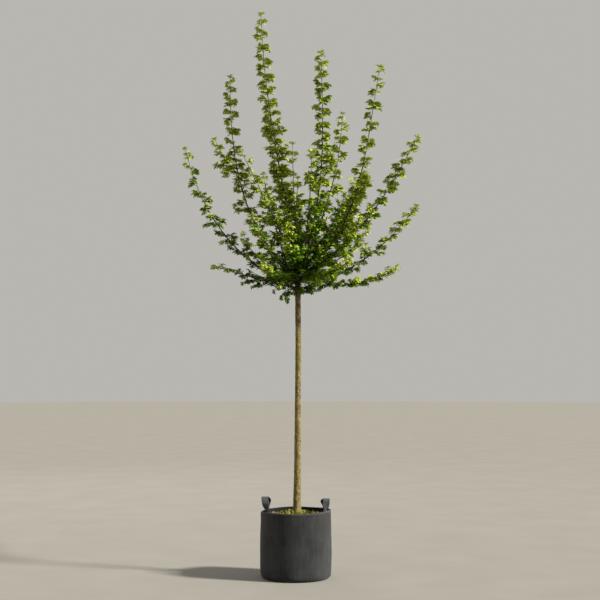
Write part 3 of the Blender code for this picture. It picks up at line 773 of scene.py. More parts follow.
def bough_route(name, steps=BOUGH_STEPS):
    azimuth, foot_z, reach, fork_z, foot_radius = BOUGHS[name]
    radius = trunk_at(foot_z - foot_radius)[0]
    centre = trunk_at(foot_z)[1]
    start = centre + around(azimuth) * (radius + GAP)
    finish = Vector((centre.x, 0, fork_z)) + around(azimuth) * reach
    rise = math.degrees(math.atan2(fork_z - foot_z, reach - radius))
    out = around(azimuth, rise * BOUGH_FOOT_SLOPE)
    into = around(azimuth, rise * BOUGH_TIP_SLOPE)
    return curve(start, out, finish, into, steps)


def bough_end(name):
    """Tip and direction of a bough, or of the trunk, that a shoot grows from."""
    if name == "trunk":
        before, tip = [trunk_at(z)[1] for z, *_ in TRUNK_RINGS[-2:]]
    else:
        *_, before, tip = bough_route(name)
    return tip, (tip - before).normalized()


def shoot_start(name):
    """Place just clear of its limb where a shoot starts, and the direction of that limb's end."""
    bough, tip, leave, *_ = SHOOTS[name]
    end, along = bough_end(bough)
    out = around(heading(end, Vector(tip)), leave)
    offset = Vector((0, 0, 0))
    for other, (other_bough, other_tip, other_leave, *_) in SHOOTS.items():
        if other_bough == bough and other != name:
            apart = out - around(heading(end, Vector(other_tip)), other_leave)
            apart -= along * apart.dot(along)
            offset += apart.normalized() * FORK_OFFSET
    return end + offset + along * GAP, along


def trunk_shoot_start(name):
    azimuth, foot_z, *_ = TRUNK_SHOOTS[name]
    radius = trunk_at(foot_z - SPUR_FOOT_RADIUS)[0]
    centre = trunk_at(foot_z)[1]
    return centre + around(azimuth) * (radius + GAP), around(azimuth)


def shoot_row(name):
    """What the tables say of a shoot: its tip, both slopes, its two leafiness values and its light."""
    row = SHOOTS.get(name) or TRUNK_SHOOTS[name]
    return row[-5:]


def shoot_route(name):
    """Points of a shoot up to its furthest leaves, and the direction that its foot faces."""
    start, facing = shoot_start(name) if name in SHOOTS else trunk_shoot_start(name)
    tip, leave, arrive, *_ = shoot_row(name)
    tip = Vector(tip)
    azimuth = heading(start, tip)
    into = around(azimuth, arrive)
    return curve(start, around(azimuth, leave), tip - into * TIP_REACH, into), facing


def side_route(main, share, tip):
    """Points of a second wand that starts inside a shoot, part of the way along it."""
    index = int(share * (len(main) - 1))
    start = main[index]
    finish = Vector(tip)
    along = (main[index + 1] - main[index]).normalized()
    out = (along + (finish - start).normalized()).normalized()
    rise = SIDE_WAND_RISE if finish.z > start.z else -SIDE_WAND_RISE
    into = ((finish - start).normalized() + Vector((0, 0, rise))).normalized()
    return curve(start, out, finish, into)


class Wand:
    """A stem along a smooth route: where it is, where it points and how thick it is."""

    def __init__(self, points, foot_radius, tip_radius, facing=None):
        self.points = points
        self.facing = facing
        self.lengths = [0]
        for a, b in zip(points, points[1:]):
            self.lengths.append(self.lengths[-1] + (b - a).length)
        self.length = self.lengths[-1]
        self.foot_radius = foot_radius
        self.tip_radius = tip_radius

    def at(self, distance):
        i = int(np.searchsorted(self.lengths, distance))
        i = min(max(i, 1), len(self.points) - 1)
        step = self.lengths[i] - self.lengths[i - 1]
        t = min((distance - self.lengths[i - 1]) / step, 1)
        here = self.points[i - 1].lerp(self.points[i], t)
        return here, (self.points[i] - self.points[i - 1]).normalized()

    def radius(self, distance):
        return lerp(self.foot_radius, self.tip_radius, min(distance / self.length, 1))

    def samples(self):
        count = max(int(self.length / SAMPLE_STEP), 2)
        return [self.at(self.length * i / count)[0] for i in range(count + 1)]


def across(along):
    """Two unit vectors square to a direction and to each other."""
    guide = Vector((0, 1, 0)) if abs(along.y) < 0.9 else Vector((1, 0, 0))
    u = along.cross(guide).normalized()
    return u, along.cross(u).normalized()


def direction_off(along, turn, angle):
    """A direction that leans from `along` by `angle`, turned round it by `turn`, in degrees."""
    u, v = across(along)
    a = math.radians(turn)
    out = u * math.cos(a) + v * math.sin(a)
    lean = math.radians(angle)
    return (along * math.cos(lean) + out * math.sin(lean)).normalized()


def tube(places, radii, sides):
    """Points and faces of a tapering limb."""
    points = []
    u = None
    for i, p in enumerate(places):
        before = places[max(i - 1, 0)]
        after = places[min(i + 1, len(places) - 1)]
        along = (after - before).normalized()
        if u is None:
            u, _ = across(along)
        u = (u - along * u.dot(along)).normalized()
        v = along.cross(u)
        for side in range(sides):
            angle = 2 * math.pi * side / sides
            points.append(p + (u * math.cos(angle) + v * math.sin(angle)) * radii[i])
    return points, ring_faces(len(places), sides)


# Crown


def all_wands():
    """The wands of every shoot, its main one first."""
    wands = {}
    for name in (*SHOOTS, *TRUNK_SHOOTS):
        points, facing = shoot_route(name)
        foot_radius = STEM_FOOT_RADIUS if name in SHOOTS else SPUR_FOOT_RADIUS
        found = [Wand(points, foot_radius, STEM_TIP_RADIUS, facing)]
        for share, tip in SIDE_WANDS.get(name, ()):
            found.append(Wand(side_route(points, share, tip), SIDE_WAND_RADIUS, STEM_TIP_RADIUS))
        wands[name] = found
    return wands


def limb_samples():
    """Places along the boughs and the upper trunk, and the radius that each takes up."""
    places = []
    radii = []
    for bough, (*_, foot_radius) in BOUGHS.items():
        route = bough_route(bough)
        for i in range(2 * BOUGH_STEPS + 1):
            places.append((route[i // 2] + route[(i + 1) // 2]) / 2)
            radii.append(foot_radius)
    for i in range(TRUNK_SAMPLES):
        height = lerp(TRUNK_RINGS[-1][0], TRUNK_SAMPLES_FROM, i / (TRUNK_SAMPLES - 1))
        radius, centre = trunk_at(height)
        places.append(centre)
        radii.append(radius)
    return gathered(places), np.array(radii)


def own_bough(name):
    """The bough that a shoot clothes with spurs, as the first shoot on it, or none."""
    bough = SHOOTS[name][0] if name in SHOOTS else "trunk"
    if bough == "trunk" or name != next(other for other, row in SHOOTS.items() if row[0] == bough):
        return None
    return Wand(bough_route(bough, SPRAY_BOUGH_STEPS), BOUGH_TIP_RADIUS, BOUGH_TIP_RADIUS)


class Space:
    """The room that belongs to one shoot: nearer to it than to any other, and clear of the limbs."""

    def __init__(self, name, wands):
        stems = [*wands[name], own_bough(name)]
        self.own = gathered([p for stem in stems if stem for p in stem.samples()])
        others = [wand for other in wands if other != name for wand in wands[other]]
        self.others = gathered([p for wand in others for p in wand.samples()])
        self.limbs, self.limb_radii = limb_samples()

    def holds(self, points, margin):
        spots = gathered(points)[:, None, :]
        own = np.linalg.norm(spots - self.own[None], axis=2).min(axis=1)
        others = np.linalg.norm(spots - self.others[None], axis=2).min(axis=1)
        if (own + margin > others).any():
            return False
        clear = np.linalg.norm(spots - self.limbs[None], axis=2) - self.limb_radii
        return bool((clear > LIMB_MARGIN).all())


def nearest_tint(number):
    return min(max(number, 0), len(LEAF_TINTS) - 1)


class Growth:
    """The twigs, spurs and leaves of one shoot, grown inside its space."""

    def __init__(self, name, wands):
        self.rng = random.Random("shoot " + name)
        self.name = name
        *_, self.leafiness, self.light = shoot_row(name)
        self.hangs = name in HANGING_SHOOTS
        self.space = Space(name, wands)
        self.wands = wands[name]
        self.twigs = []
        self.spurs = []
        self.leaves = [[] for _ in range(MATURE_KINDS + YOUNG_KINDS)]
        for wand in self.wands:
            self.grow_twigs(wand)
        for wand in self.wands:
            self.grow_sprays(wand, YOUNG_LENGTH)
        for twig in self.twigs:
            self.grow_sprays(twig, TWIG_YOUNG_LENGTH)
        bough = own_bough(name)
        if bough:
            self.grow_bough_sprays(bough)

    def spread(self, most):
        """A random number from -most to +most."""
        return self.rng.uniform(-most, most)

    def grow_twigs(self, wand):
        """Side twigs along the lower part of a wand."""
        turn = self.rng.uniform(0, 360)
        distance = TWIG_START
        zone = wand.length * TWIG_ZONE
        while distance < zone:
            self.grow_twig(wand, distance, turn, lerp(TWIG_LONGEST, TWIG_SHORTEST, distance / zone))
            turn += GOLDEN_ANGLE + self.spread(TURN_SPREAD)
            distance += TWIG_SPACING * (1 + self.spread(SPACING_SPREAD))

    def grow_twig(self, wand, distance, turn, length):
        """The longest twig that fits the space at a place on a wand, or none."""
        foot, along = wand.at(distance)
        for size in TWIG_SIZES:
            for extra in TWIG_TURNS:
                out = direction_off(along, turn + extra, TWIG_ANGLE)
                into = (out + Vector((0, 0, TWIG_RISE))).normalized()
                tip = foot + into * (length * size)
                if tip.z < CROWN_FLOOR + TWIG_END_ROOM:
                    continue
                if self.space.holds([foot.lerp(tip, 0.5), tip, tip + into * TWIG_END_ROOM], TWIG_MARGIN):
                    end = (into + Vector((0, 0, TWIG_END_RISE))).normalized()
                    points = curve(foot, out, tip, end, TWIG_STEPS)
                    self.twigs.append(Wand(points, TWIG_RADIUS, STEM_TIP_RADIUS))
                    return

    def grow_sprays(self, stem, young_length):
        """Pairs of sprays at the nodes of a stem, and a tuft at its end."""
        turn = self.rng.uniform(0, 360)
        distance = SPRAY_START
        grown = 0
        while distance < stem.length - SPRAY_END_ROOM:
            young = smooth(1 - (stem.length - distance) / young_length)
            angle = SPRAY_ANGLE + self.spread(SPRAY_ANGLE_SPREAD)
            self.grow_spray(stem, distance, turn, angle, young)
            turn += NODE_TURNS[grown % 2] + self.spread(TURN_SPREAD)
            spacing = SPRAY_SPACING / lerp(*self.leafiness, distance / stem.length)
            spacing *= NODE_STEPS[grown % 2]
            distance += spacing * lerp(1.0, YOUNG_SPACING, young) * (1 + self.spread(SPACING_SPREAD))
            grown += 1
        self.grow_spray(stem, stem.length - TUFT_INSET, turn, TUFT_ANGLE, 1, tuft=True)

    def grow_bough_sprays(self, bough):
        """Leafy spurs all round a bough."""
        turn = self.rng.uniform(0, 360)
        distance = BOUGH_SPRAY_SPACING
        while distance < bough.length:
            self.grow_spray(bough, distance, turn, SPRAY_ANGLE, 0)
            turn += GOLDEN_ANGLE
            distance += BOUGH_SPRAY_SPACING

    def grow_spray(self, stem, distance, turn, angle, young, tuft=False):
        """The largest spray that fits at a place on a stem, or none."""
        foot, along = stem.at(distance)
        high = max(rising(foot.z, SCALE_HEIGHTS), rising(math.hypot(foot.x, foot.y), SCALE_REACHES))
        scale = lerp(LOW_LEAF_SCALE, 1, high) * lerp(1, YOUNG_SCALE, young) * (1 + self.spread(SCALE_SPREAD))
        inner = distance / stem.length < LONG_SPUR_ZONE
        length = self.rng.uniform(*(LONG_SPUR_LENGTHS if inner else SPUR_LENGTHS)) * scale
        floor = HANGING_SHOOTS.get(self.name, CROWN_FLOOR)
        for size in SPRAY_SIZES:
            reach = (length + LEAF_REACH * scale) * size
            for extra in SPRAY_TURNS:
                out = direction_off(along, turn + extra, angle)
                if self.hangs:
                    out = (out - Vector((0, 0, HANG_PULL))).normalized()
                middle, end = foot + out * (reach * SPRAY_MIDDLE), foot + out * reach
                if end.z >= floor and self.space.holds([middle, end], -SPRAY_MINGLE):
                    spur = out * (length * size)
                    self.spurs.append((foot, foot + spur))
                    count = round(lerp(LEAVES_LOW, LEAVES_HIGH, high) + self.spread(LEAVES_SPREAD))
                    self.add_leaves(foot, spur, scale * size, young, count, tuft)
                    return

    def add_leaves(self, foot, spur, scale, young, count, tuft):
        """A fan of leaves to both sides of a spur, or a tuft all round the end of a stem."""
        tint = self.tint_of(foot, young)
        out = spur.normalized()
        turn = self.rng.uniform(0, 360)
        level = math.degrees(math.atan2(out.y, out.x))
        middle_rise = HANG_RISE if self.hangs else FAN_RISE
        count += TUFT_EXTRA if tuft else 0
        for i in range(count):
            if tuft:
                direction = direction_off(out, turn + 360 * i / count, self.rng.uniform(*TUFT_LEANS))
            else:
                share = 2 * (i + 0.5) / count - 1
                rise = middle_rise * (1 - FAN_FALL * abs(share)) + self.spread(FAN_RISE_SPREAD)
                direction = around(level + share * FAN_TURN + self.spread(FAN_TURN_SPREAD), rise)
            face_up = Vector((0, 0, 1)) + out * LEAF_LEAN
            face_up = (face_up - direction * face_up.dot(direction)).normalized()
            face_up = Quaternion(direction, math.radians(self.spread(LEAF_ROLL))) @ face_up
            size = LEAF_LENGTH * scale * self.rng.uniform(*LEAF_SIZES)
            start = foot + spur * self.rng.uniform(*SPUR_PLACES)
            kind = self.rng.randrange(MATURE_KINDS)
            if self.rng.random() < young:
                kind = MATURE_KINDS + self.rng.randrange(YOUNG_KINDS)
            own_tint = nearest_tint(tint + self.rng.choice(TINT_STEPS))
            if kind >= MATURE_KINDS and own_tint >= YOUNG_TINT_FROM:
                own_tint = len(LEAF_TINTS)
            self.leaves[kind].append((start, direction, face_up, size, own_tint))

    def tint_of(self, foot, young):
        """Number of a spray's tint: painted shade deep in the middle, painted light outward and toward the
        young tips.
        """
        openness = max(rising(foot.z, OPEN_HEIGHTS), rising(math.hypot(foot.x, foot.y), OPEN_REACHES))
        lift = SHADE_LIFT * (1 - rising(foot.z, SHADE_LIFT_HEIGHTS))
        young_light = FRONT_YOUNG_LIGHT if self.name.startswith(("front", "spur", "low")) else YOUNG_LIGHT
        tone = MIDDLE_TONE + (OPEN_TONE + lift) * openness + young_light * young
        tone += self.light + self.rng.gauss(0, TONE_SPREAD)
        return nearest_tint(int(tone * len(LEAF_TINTS)))


# Half of a deeply cut leaf of blade length 1: its outline as across and along, then its midrib
LEAF_OUTLINE = (
    (0.10, 0.08), (0.35, 0.20), (0.31, 0.32), (0.12, 0.34), (0.33, 0.50),
    (0.40, 0.63), (0.29, 0.68), (0.11, 0.64), (0.22, 0.83), (0.11, 0.89),
)
MIDRIB = (0.0, 0.30, 0.62, 0.85, 1.0)

# Triangles of a half leaf: midrib points 0 to 4, then the outline's ten points
HALF_FACES = (
    (0, 5, 1), (5, 8, 1), (5, 7, 8), (5, 6, 7),
    (1, 8, 2), (8, 12, 2), (8, 9, 12), (9, 11, 12), (9, 10, 11),
    (2, 12, 3), (12, 14, 3), (12, 13, 14), (14, 4, 3),
)


def leaf_kind(number):
    """Points and triangles of one leaf with its stalk, arched along its length and folded along its rib."""
    rng = random.Random(f"leaf {number}")
    fold = rng.uniform(0.10, 0.55)
    arch = rng.uniform(0.5, 1.5)
    curl = rng.uniform(0.2, 0.9)
    width = YOUNG_WIDTH if number >= MATURE_KINDS else 1
    flat = [(0, y) for y in MIDRIB]
    for side in (1, -1):
        for x, y in LEAF_OUTLINE:
            flat.append((x * rng.uniform(0.86, 1.14) * side * width, y + rng.uniform(-0.02, 0.02)))
    faces = list(HALF_FACES)
    for face in HALF_FACES:
        a, b, c = [i + len(LEAF_OUTLINE) if i >= len(MIDRIB) else i for i in face]
        faces.append((a, c, b))
    stalk = len(flat)
    faces += [(stalk, stalk + 2, stalk + 3), (stalk, stalk + 3, stalk + 1)]
    top, foot = PETIOLE_WIDTHS
    points = []
    for x, y in (*flat, (-top, 0), (top, 0)):
        lift = fold * abs(x) - curl * x * x
        angle = arch * y
        along = PETIOLE + math.sin(angle) / arch + lift * math.sin(angle)
        points.append((x, along, lift * math.cos(angle) - (1 - math.cos(angle)) / arch))
    points += [(-foot, 0, 0), (foot, 0, 0)]
    return np.array(points), np.array(faces)


def build_leaves(name, growths, tints):
    """One joined mesh of the leaves of some shoots, each leaf with its own tint."""
    bundle = Bundle()
    for number in range(MATURE_KINDS + YOUNG_KINDS):
        shape, faces = leaf_kind(number)
        own = [leaf for growth in growths for leaf in growth.leaves[number]]
        *vectors, size, tint = zip(*own)
        start, along, up = [gathered(group)[:, None] for group in vectors]
        across_by, along_by, up_by = [shape[None, :, i:i + 1] for i in range(3)]
        points = across_by * np.cross(along, up) + along_by * along
        points = start + np.array(size)[:, None, None] * (points + up_by * up)
        first = len(bundle.points) + len(shape) * np.arange(len(own))[:, None, None]
        bundle.points += points.reshape(-1, 3).tolist()
        bundle.faces += (faces[None] + first).reshape(-1, 3).tolist()
        bundle.looks += np.repeat(tint, len(faces)).tolist()
    bundle.build(name, tints, ["foliage_" + growth.name for growth in growths])


def kinked(wand):
    """A wand's points with the slight bends that it has at its buds."""
    points = []
    for i, (p, length) in enumerate(zip(wand.points, wand.lengths)):
        u, v = across(wand.at(length)[1])
        turn = math.radians(GOLDEN_ANGLE * i)
        bend = STEM_KINK * min(length / STEM_KINKS_FROM, 1)
        points.append(p + (u * math.cos(turn) + v * math.sin(turn)) * bend)
    return points


def build_twigs(growths):
    """All stems of the crown in one mesh: older wood below, young wood above, and the spurs."""
    bundle = Bundle()
    for growth in growths:
        for wand in growth.wands:
            points = kinked(wand)
            radii = [wand.radius(length) for length in wand.lengths]
            if wand.facing is not None:
                points.insert(0, points[0] - wand.facing * STEM_FOOT_SUNK)
                radii.insert(0, radii[0] * STEM_FOOT_SWELL)
            young_from = int(len(points) * YOUNG_WOOD_SHARE)
            bundle.add(*tube(points[: young_from + 1], radii[: young_from + 1], STEM_SIDES), 0)
            bundle.add(*tube(points[young_from:], radii[young_from:], STEM_SIDES), 1)
        for twig in growth.twigs:
            bundle.add(*tube(twig.points, [twig.radius(n) for n in twig.lengths], TWIG_SIDES), 1)
        for spur in growth.spurs:
            bundle.add(*tube(spur, SPUR_RADII, SPUR_SIDES), 1)
    looks = [plain_look("older wood", (60, 50, 34), 0.8), plain_look("young wood", (86, 78, 44), 0.7)]
    bundle.build("twigs", looks)


def part_of_crown(name):
    """The tall wands, or the side of the crown that a shoot stands on, as the camera sees it."""
    x, y, z = shoot_row(name)[0]
    if z > TALL_TIP:
        return "tall"
    return ("right", "back", "left", "front")[int((math.degrees(math.atan2(y, x)) + 45) % 360 // 90)]


def build_crown():
    wands = all_wands()
    growths = [Growth(name, wands) for name in wands]
    build_twigs(growths)
    shades = (*LEAF_TINTS, YOUNG_TINT)
    tints = [plain_look(f"leaf tint {i}", rgb, 0.58, 0.14) for i, rgb in enumerate(shades)]
    for part in ("left", "right", "front", "back", "tall"):
        build_leaves("leaves_" + part, [own for own in growths if part_of_crown(own.name) == part], tints)


# Trunk and boughs


def trunk_knobs():
    """Knobs on the trunk: height, azimuth, how far each stands out and its width."""
    rng = random.Random("trunk relief")
    knobs = []
    for _ in range(TRUNK_KNOBS):
        z = lerp(TRUNK_RINGS[0][0], TRUNK_RINGS[-1][0], rng.random() ** 1.25)
        knobs.append((z, rng.uniform(0, 360), rng.uniform(*KNOB_HEIGHTS), rng.uniform(*KNOB_WIDTHS)))
    return knobs


def trunk_ring(z, knobs):
    """Points round the trunk at a height, with its lobed foot, its ridges and its knobs."""
    radius, centre = trunk_at(z)
    swell = TRUNK_FOOT_SWELL * max(1 - (z - TRUNK_RINGS[0][0]) / TRUNK_FLARE_HEIGHT, 0) ** 1.5
    near = [knob for knob in knobs if abs(knob[0] - z) < KNOB_REACH]
    points = []
    for azimuth in turns(TRUNK_SIDES):
        out = around(azimuth)
        r = radius + swell * (0.5 + 0.5 * math.cos(math.radians(TRUNK_FOOT_LOBES * azimuth + 60)))
        spot = out * RIDGE_RADIUS
        for depth, fine, fine_up in RIDGES:
            r += depth * noise.noise(Vector((spot.x * fine, spot.y * fine, z * fine_up)))
        for knob_z, knob_azimuth, height, width in near:
            beside = math.radians(turn_between(azimuth, knob_azimuth)) * radius
            d = math.hypot(beside, (z - knob_z) * KNOB_STRETCH) / width
            r += height * math.exp(-d * d)
        points.append(centre + out * r)
    return points


def bough_tube(name, foot_radius):
    """Points and faces of a bough, sunk in the trunk with a collar round its foot."""
    route = bough_route(name, BARK_BOUGH_STEPS)
    route.insert(0, route[0] - (route[1] - route[0]).normalized() * BOUGH_SUNK)
    radii = []
    for i in range(len(route)):
        share = i / (len(route) - 1)
        collar = COLLAR * max(1 - share / COLLAR_SHARE, 0) ** 2
        radii.append(lerp(foot_radius, BOUGH_TIP_RADIUS, share) + collar)
    points, faces = tube(route, radii, BOUGH_SIDES)
    return [p + Vector(noise.noise_vector(p * 120)) * BOUGH_ROUGHNESS for p in points], faces


def build_bark():
    """Trunk and boughs as one mesh. The seed gives the boughs the same bumps in each run."""
    noise.seed_set(BOUGH_BUMP_SEED)
    bundle = Bundle()
    knobs = trunk_knobs()
    foot, top = TRUNK_RINGS[0][0], TRUNK_RINGS[-1][0]
    rings = int((top - foot) / TRUNK_STEP) + 2
    points = []
    for ring in range(rings):
        points += trunk_ring(min(foot + ring * TRUNK_STEP, top), knobs)
    bundle.add(points, ring_faces(rings, TRUNK_SIDES))
    for name, (*_, foot_radius) in BOUGHS.items():
        bundle.add(*bough_tube(name, foot_radius))
    bundle.build("bark", [bark_look()], ["trunk", *["bough_" + name for name in BOUGHS]])


# Planting bag


def profile_radius(z):
    blur = PROFILE_BLUR if z > BAG_FOOT_TOP else FOOT_BLUR
    return BAG_RADIUS - float(np.mean(np.interp([z - blur, z, z + blur], *zip(*BAG_PROFILE))))


def rim_top(azimuth):
    """Height of the soft, uneven rim."""
    tilt = RIM_TILT * math.cos(math.radians(azimuth - RIM_TILT_AZIMUTH))
    ripple = RIM_RIPPLE * math.cos(math.radians(RIM_RIPPLE_WAVES * azimuth + RIM_RIPPLE_PHASE))
    return BAG_HEIGHT + (tilt + ripple + RIM_UNEVENNESS * noise.noise(around(azimuth) * 4.1))


def wall_offset(azimuth, z):
    """How far the soft wall bulges or dents at a place."""
    out = around(azimuth)
    swells = noise.noise(Vector((out.x * 1.7, out.y * 1.7, z * 5.0)))
    folds = noise.noise(Vector((out.x * 2.6 + 7, out.y * 2.6, z * 26.0)))
    upright = noise.noise(Vector((out.x * 7.5, out.y * 7.5, z * 3.0 + 4)))
    near_rim = smooth((z - RIM_FOLDS_FROM) / RIM_FOLDS_WITHIN)
    upright_depth = UPRIGHT_FOLD_DEPTH + RIM_FOLD_DEPTH * near_rim
    return smooth(z / BAG_FOOT_TOP) * (SWELL_DEPTH * swells + FOLD_DEPTH * folds + upright_depth * upright)


def groove(distance, depth, width):
    return depth * math.exp(-((distance / width) ** 2))


def hem(azimuth, z):
    """The turned hem stands proud, with a groove along its stitches, as does the seam at the back."""
    below = rim_top(azimuth) - z
    proud = HEM_THICKNESS * smooth((HEM_DEPTH - below) / HEM_SOFTNESS)
    proud -= groove(below - HEM_DEPTH + HEM_STITCH_INSET, *HEM_GROOVE)
    apart = abs(turn_between(azimuth, SEAM_AZIMUTH)) * math.radians(1) * BAG_RADIUS
    seam = SEAM_THICKNESS * smooth((SEAM_WIDTH - apart) / SEAM_SOFTNESS)
    return proud + (seam - groove(apart - SEAM_WIDTH + SEAM_STITCH_INSET, *SEAM_GROOVE))


def outer_point(azimuth, share, z):
    """A point of the outer face, at a height that is a share of the rim's."""
    r = profile_radius(share * BAG_HEIGHT) + wall_offset(azimuth, z) + hem(azimuth, z)
    return place_at(azimuth, r, z)


def bag_heights():
    """Heights of the outer rings between the rounded foot and the rim, as shares of the rim's height."""
    wall = BAG_HEIGHT - BAG_FOOT_TOP
    count = int(wall / BAG_RING_STEP)
    walls = [BAG_FOOT_TOP + wall * i / count for i in range(count)]
    fine = [BAG_HEIGHT - HEM_DEPTH + step for step in HEM_RING_STEPS]
    return [z / BAG_HEIGHT for z in sorted({*BAG_FOOT_HEIGHTS, *walls, *fine})]


def build_bag():
    """The felt shell: underside, wall, rounded rim, then the inner wall and floor in darker felt as painted
    shade.
    """
    azimuths = turns(BAG_SIDES)
    heights = bag_heights()
    points = [place_at(azimuth, radius, 0) for radius in UNDERSIDE_RADII for azimuth in azimuths]
    for share in heights:
        for azimuth in azimuths:
            top = rim_top(azimuth) if share > BAG_LEVEL_SHARE else BAG_HEIGHT
            points.append(outer_point(azimuth, share, share * top))
    half = BAG_WALL / 2 + HEM_THICKNESS
    for step in range(RIM_STEPS + 1):
        angle = math.pi * step / RIM_STEPS
        for azimuth in azimuths:
            top = rim_top(azimuth)
            middle = profile_radius(BAG_HEIGHT) - BAG_WALL / 2 + wall_offset(azimuth, top)
            r = middle + half * math.cos(angle)
            points.append(place_at(azimuth, r, top - half + half * math.sin(angle)))
    outer = len(points) // BAG_SIDES - RIM_STEPS // 2
    low, high = INNER_WALL_SHARES
    for share in reversed([h for h in heights if low < h < high]):
        for azimuth in azimuths:
            z = share * rim_top(azimuth)
            r = profile_radius(share * BAG_HEIGHT) - BAG_WALL + wall_offset(azimuth, z)
            points.append(place_at(azimuth, r, z))
    points += [place_at(azimuth, radius, z) for radius, z in BAG_INSIDE for azimuth in azimuths]
    faces = ring_faces(len(points) // BAG_SIDES, BAG_SIDES)
    looks = [0 if face[0] < outer * BAG_SIDES else 1 for face in faces]
    bundle = Bundle()
    bundle.add(points, faces, looks)
    # Painted shade: the inner wall and floor get a darker felt
    inside = felt_look("felt inside painted shade", (12, 12, 12), (30, 29, 28))
    bundle.build("felt_shell", [bag_felt_look(), inside], ["felt_bag"])


def stitch(place, along, out, length):
    """Points and faces of one raised stitch, thick in the middle and sunk at both ends."""
    steps = len(THREAD_RADII) - 1
    places = []
    for i in range(steps + 1):
        t = i / steps
        rise = THREAD_RISE * math.sin(math.pi * t) - THREAD_SUNK
        places.append(place + along * (length * (t - 0.5)) + out * rise)
    return tube(places, THREAD_RADII, THREAD_SIDES)


def build_stitches(straps):
    bundle = Bundle()
    for azimuth in turns(HEM_STITCHES):
        top = rim_top(azimuth)
        z = top - HEM_DEPTH + HEM_STITCH_INSET
        place = outer_point(azimuth, z / top, z)
        bundle.add(*stitch(place, around(azimuth + 90), around(azimuth), HEM_STITCH_LENGTH))
    inset = STRAP_WIDTH / 2 - STRAP_STITCH_INSET
    for sections in straps:
        for before, (p, wide, normal), after in zip(sections, sections[1:], sections[2:]):
            along = (after[0] - before[0]).normalized()
            for side in (1, -1):
                for face in (1, -1):
                    place = p + wide * (side * inset) + normal * (face * STRAP_THICKNESS / 2)
                    bundle.add(*stitch(place, along, normal * face, STRAP_STITCH_LENGTH))
    bundle.build("stitching", [plain_look("thread", (40, 40, 42), 0.6)])


# Handles


def inner_radius(z):
    return profile_radius(z) - BAG_WALL


def mirrored(vector, side, end):
    """A vector of the right handle's back half, carried to the handle and half that are meant."""
    return Vector((vector.x * side, vector.y * end, vector.z))


def strap_route(side, rise, lean):
    """Points up one leg, over the arch and down the other, each with the strap's width direction."""
    wall = inner_radius(BAG_HEIGHT) - STRAP_CLEARANCE
    reach = math.sqrt(wall**2 - (STRAP_WIDTH / 2) ** 2) - STRAP_THICKNESS / 2
    foot = around(STRAP_AZIMUTH) * reach
    tangent = around(STRAP_AZIMUTH + 90)
    bend_z = BAG_HEIGHT + STRAP_BEND_RISE
    half = []
    for i in range(STRAP_LEG_STEPS + 1):
        z = lerp(SOIL_TOP - SOIL_MOUND, bend_z, i / STRAP_LEG_STEPS)
        half.append((Vector((foot.x, foot.y, z)), tangent))
    for step in range(1, STRAP_STEPS + 1):
        t = step / STRAP_STEPS
        angle = t * math.pi / 2
        y = foot.y * math.cos(angle) ** ARCH_SQUARENESS if step < STRAP_STEPS else 0
        z = bend_z + (BAG_HEIGHT + rise - bend_z) * math.sin(angle)
        x = foot.x + (ARCH_OUTWARD + lean) * math.sin(angle)
        width = tangent.lerp(Vector((-1, 0, 0)), smooth(t * STRAP_TURN_RATE)).normalized()
        half.append((Vector((x, y, z)), width))
    route = [(mirrored(p, side, -1), mirrored(w, side, -1)) for p, w in half]
    for p, w in reversed(half[:-1]):
        share = min(max((p.z - bend_z) / (BAG_HEIGHT + rise - bend_z), 0), 1)
        bowed = p - Vector((BACK_BOW * math.sin(math.pi * share), 0, 0))
        route.append((mirrored(bowed, side, 1), mirrored(w, side, 1)))
    return route


def strap_sections(side, rise, lean):
    """Centre, width direction and thickness direction along a strap."""
    route = strap_route(side, rise, lean)
    sections = []
    last = None
    for i, (p, width) in enumerate(route):
        before = route[max(i - 1, 0)][0]
        after = route[min(i + 1, len(route) - 1)][0]
        along = (after - before).normalized()
        wide = (width - along * width.dot(along)).normalized()
        if last is not None and wide.dot(last) < 0:
            wide = -wide
        last = wide
        sections.append((p, wide, along.cross(wide).normalized()))
    return sections


def build_strap(name, sections):
    """A soft flat strap with rounded edges and a slight cup across its width, with painted shade on its
    inner face.
    """
    foot, _, foot_normal = sections[0]
    inner = -1 if foot_normal.x * foot.x + foot_normal.y * foot.y > 0 else 1
    outline = []
    for i in range(STRAP_SIDES):
        angle = math.tau * i / STRAP_SIDES
        shaped = zip((math.cos(angle), math.sin(angle)), STRAP_EDGES)
        outline.append([math.copysign(abs(value) ** power, value) for value, power in shaped])
    points = []
    for i, (p, wide, normal) in enumerate(sections):
        cup = STRAP_CUP * noise.noise(Vector((i * 0.16, 0, 3)))
        for x, y in outline:
            fuzz = STRAP_FUZZ * noise.noise(Vector((x * 4, y * 3, i * 1.7)))
            through = y * STRAP_THICKNESS / 2 + cup * (1 - x * x) + fuzz
            points.append(p + wide * (x * STRAP_WIDTH / 2) + normal * through)
    faces = ring_faces(len(sections), STRAP_SIDES)
    # Painted shade: faces on the strap's inner side get a darker felt
    looks = []
    for face in faces:
        middle = math.tau * (face[0] % STRAP_SIDES + 0.5) / STRAP_SIDES
        looks.append(1 if math.sin(middle) * inner > 0 else 0)
    bundle = Bundle()
    bundle.add(points, faces, looks)
    outside = felt_look(name + " felt", (32, 34, 36), (60, 63, 66))
    inside = felt_look(name + " inner felt painted shade", (13, 13, 14), (28, 28, 29))
    bundle.build(name + "_strap", [outside, inside], [name])


def build_handles():
    straps = []
    for name, side, rise, lean in (
        ("handle_left", -1, LEFT_ARCH_RISE, LEFT_ARCH_LEAN),
        ("handle_right", 1, RIGHT_ARCH_RISE, RIGHT_ARCH_LEAN),
    ):
        sections = strap_sections(side, rise, lean)
        build_strap(name, sections)
        straps.append(sections)
    build_stitches(straps)


# Compost and what grows on it


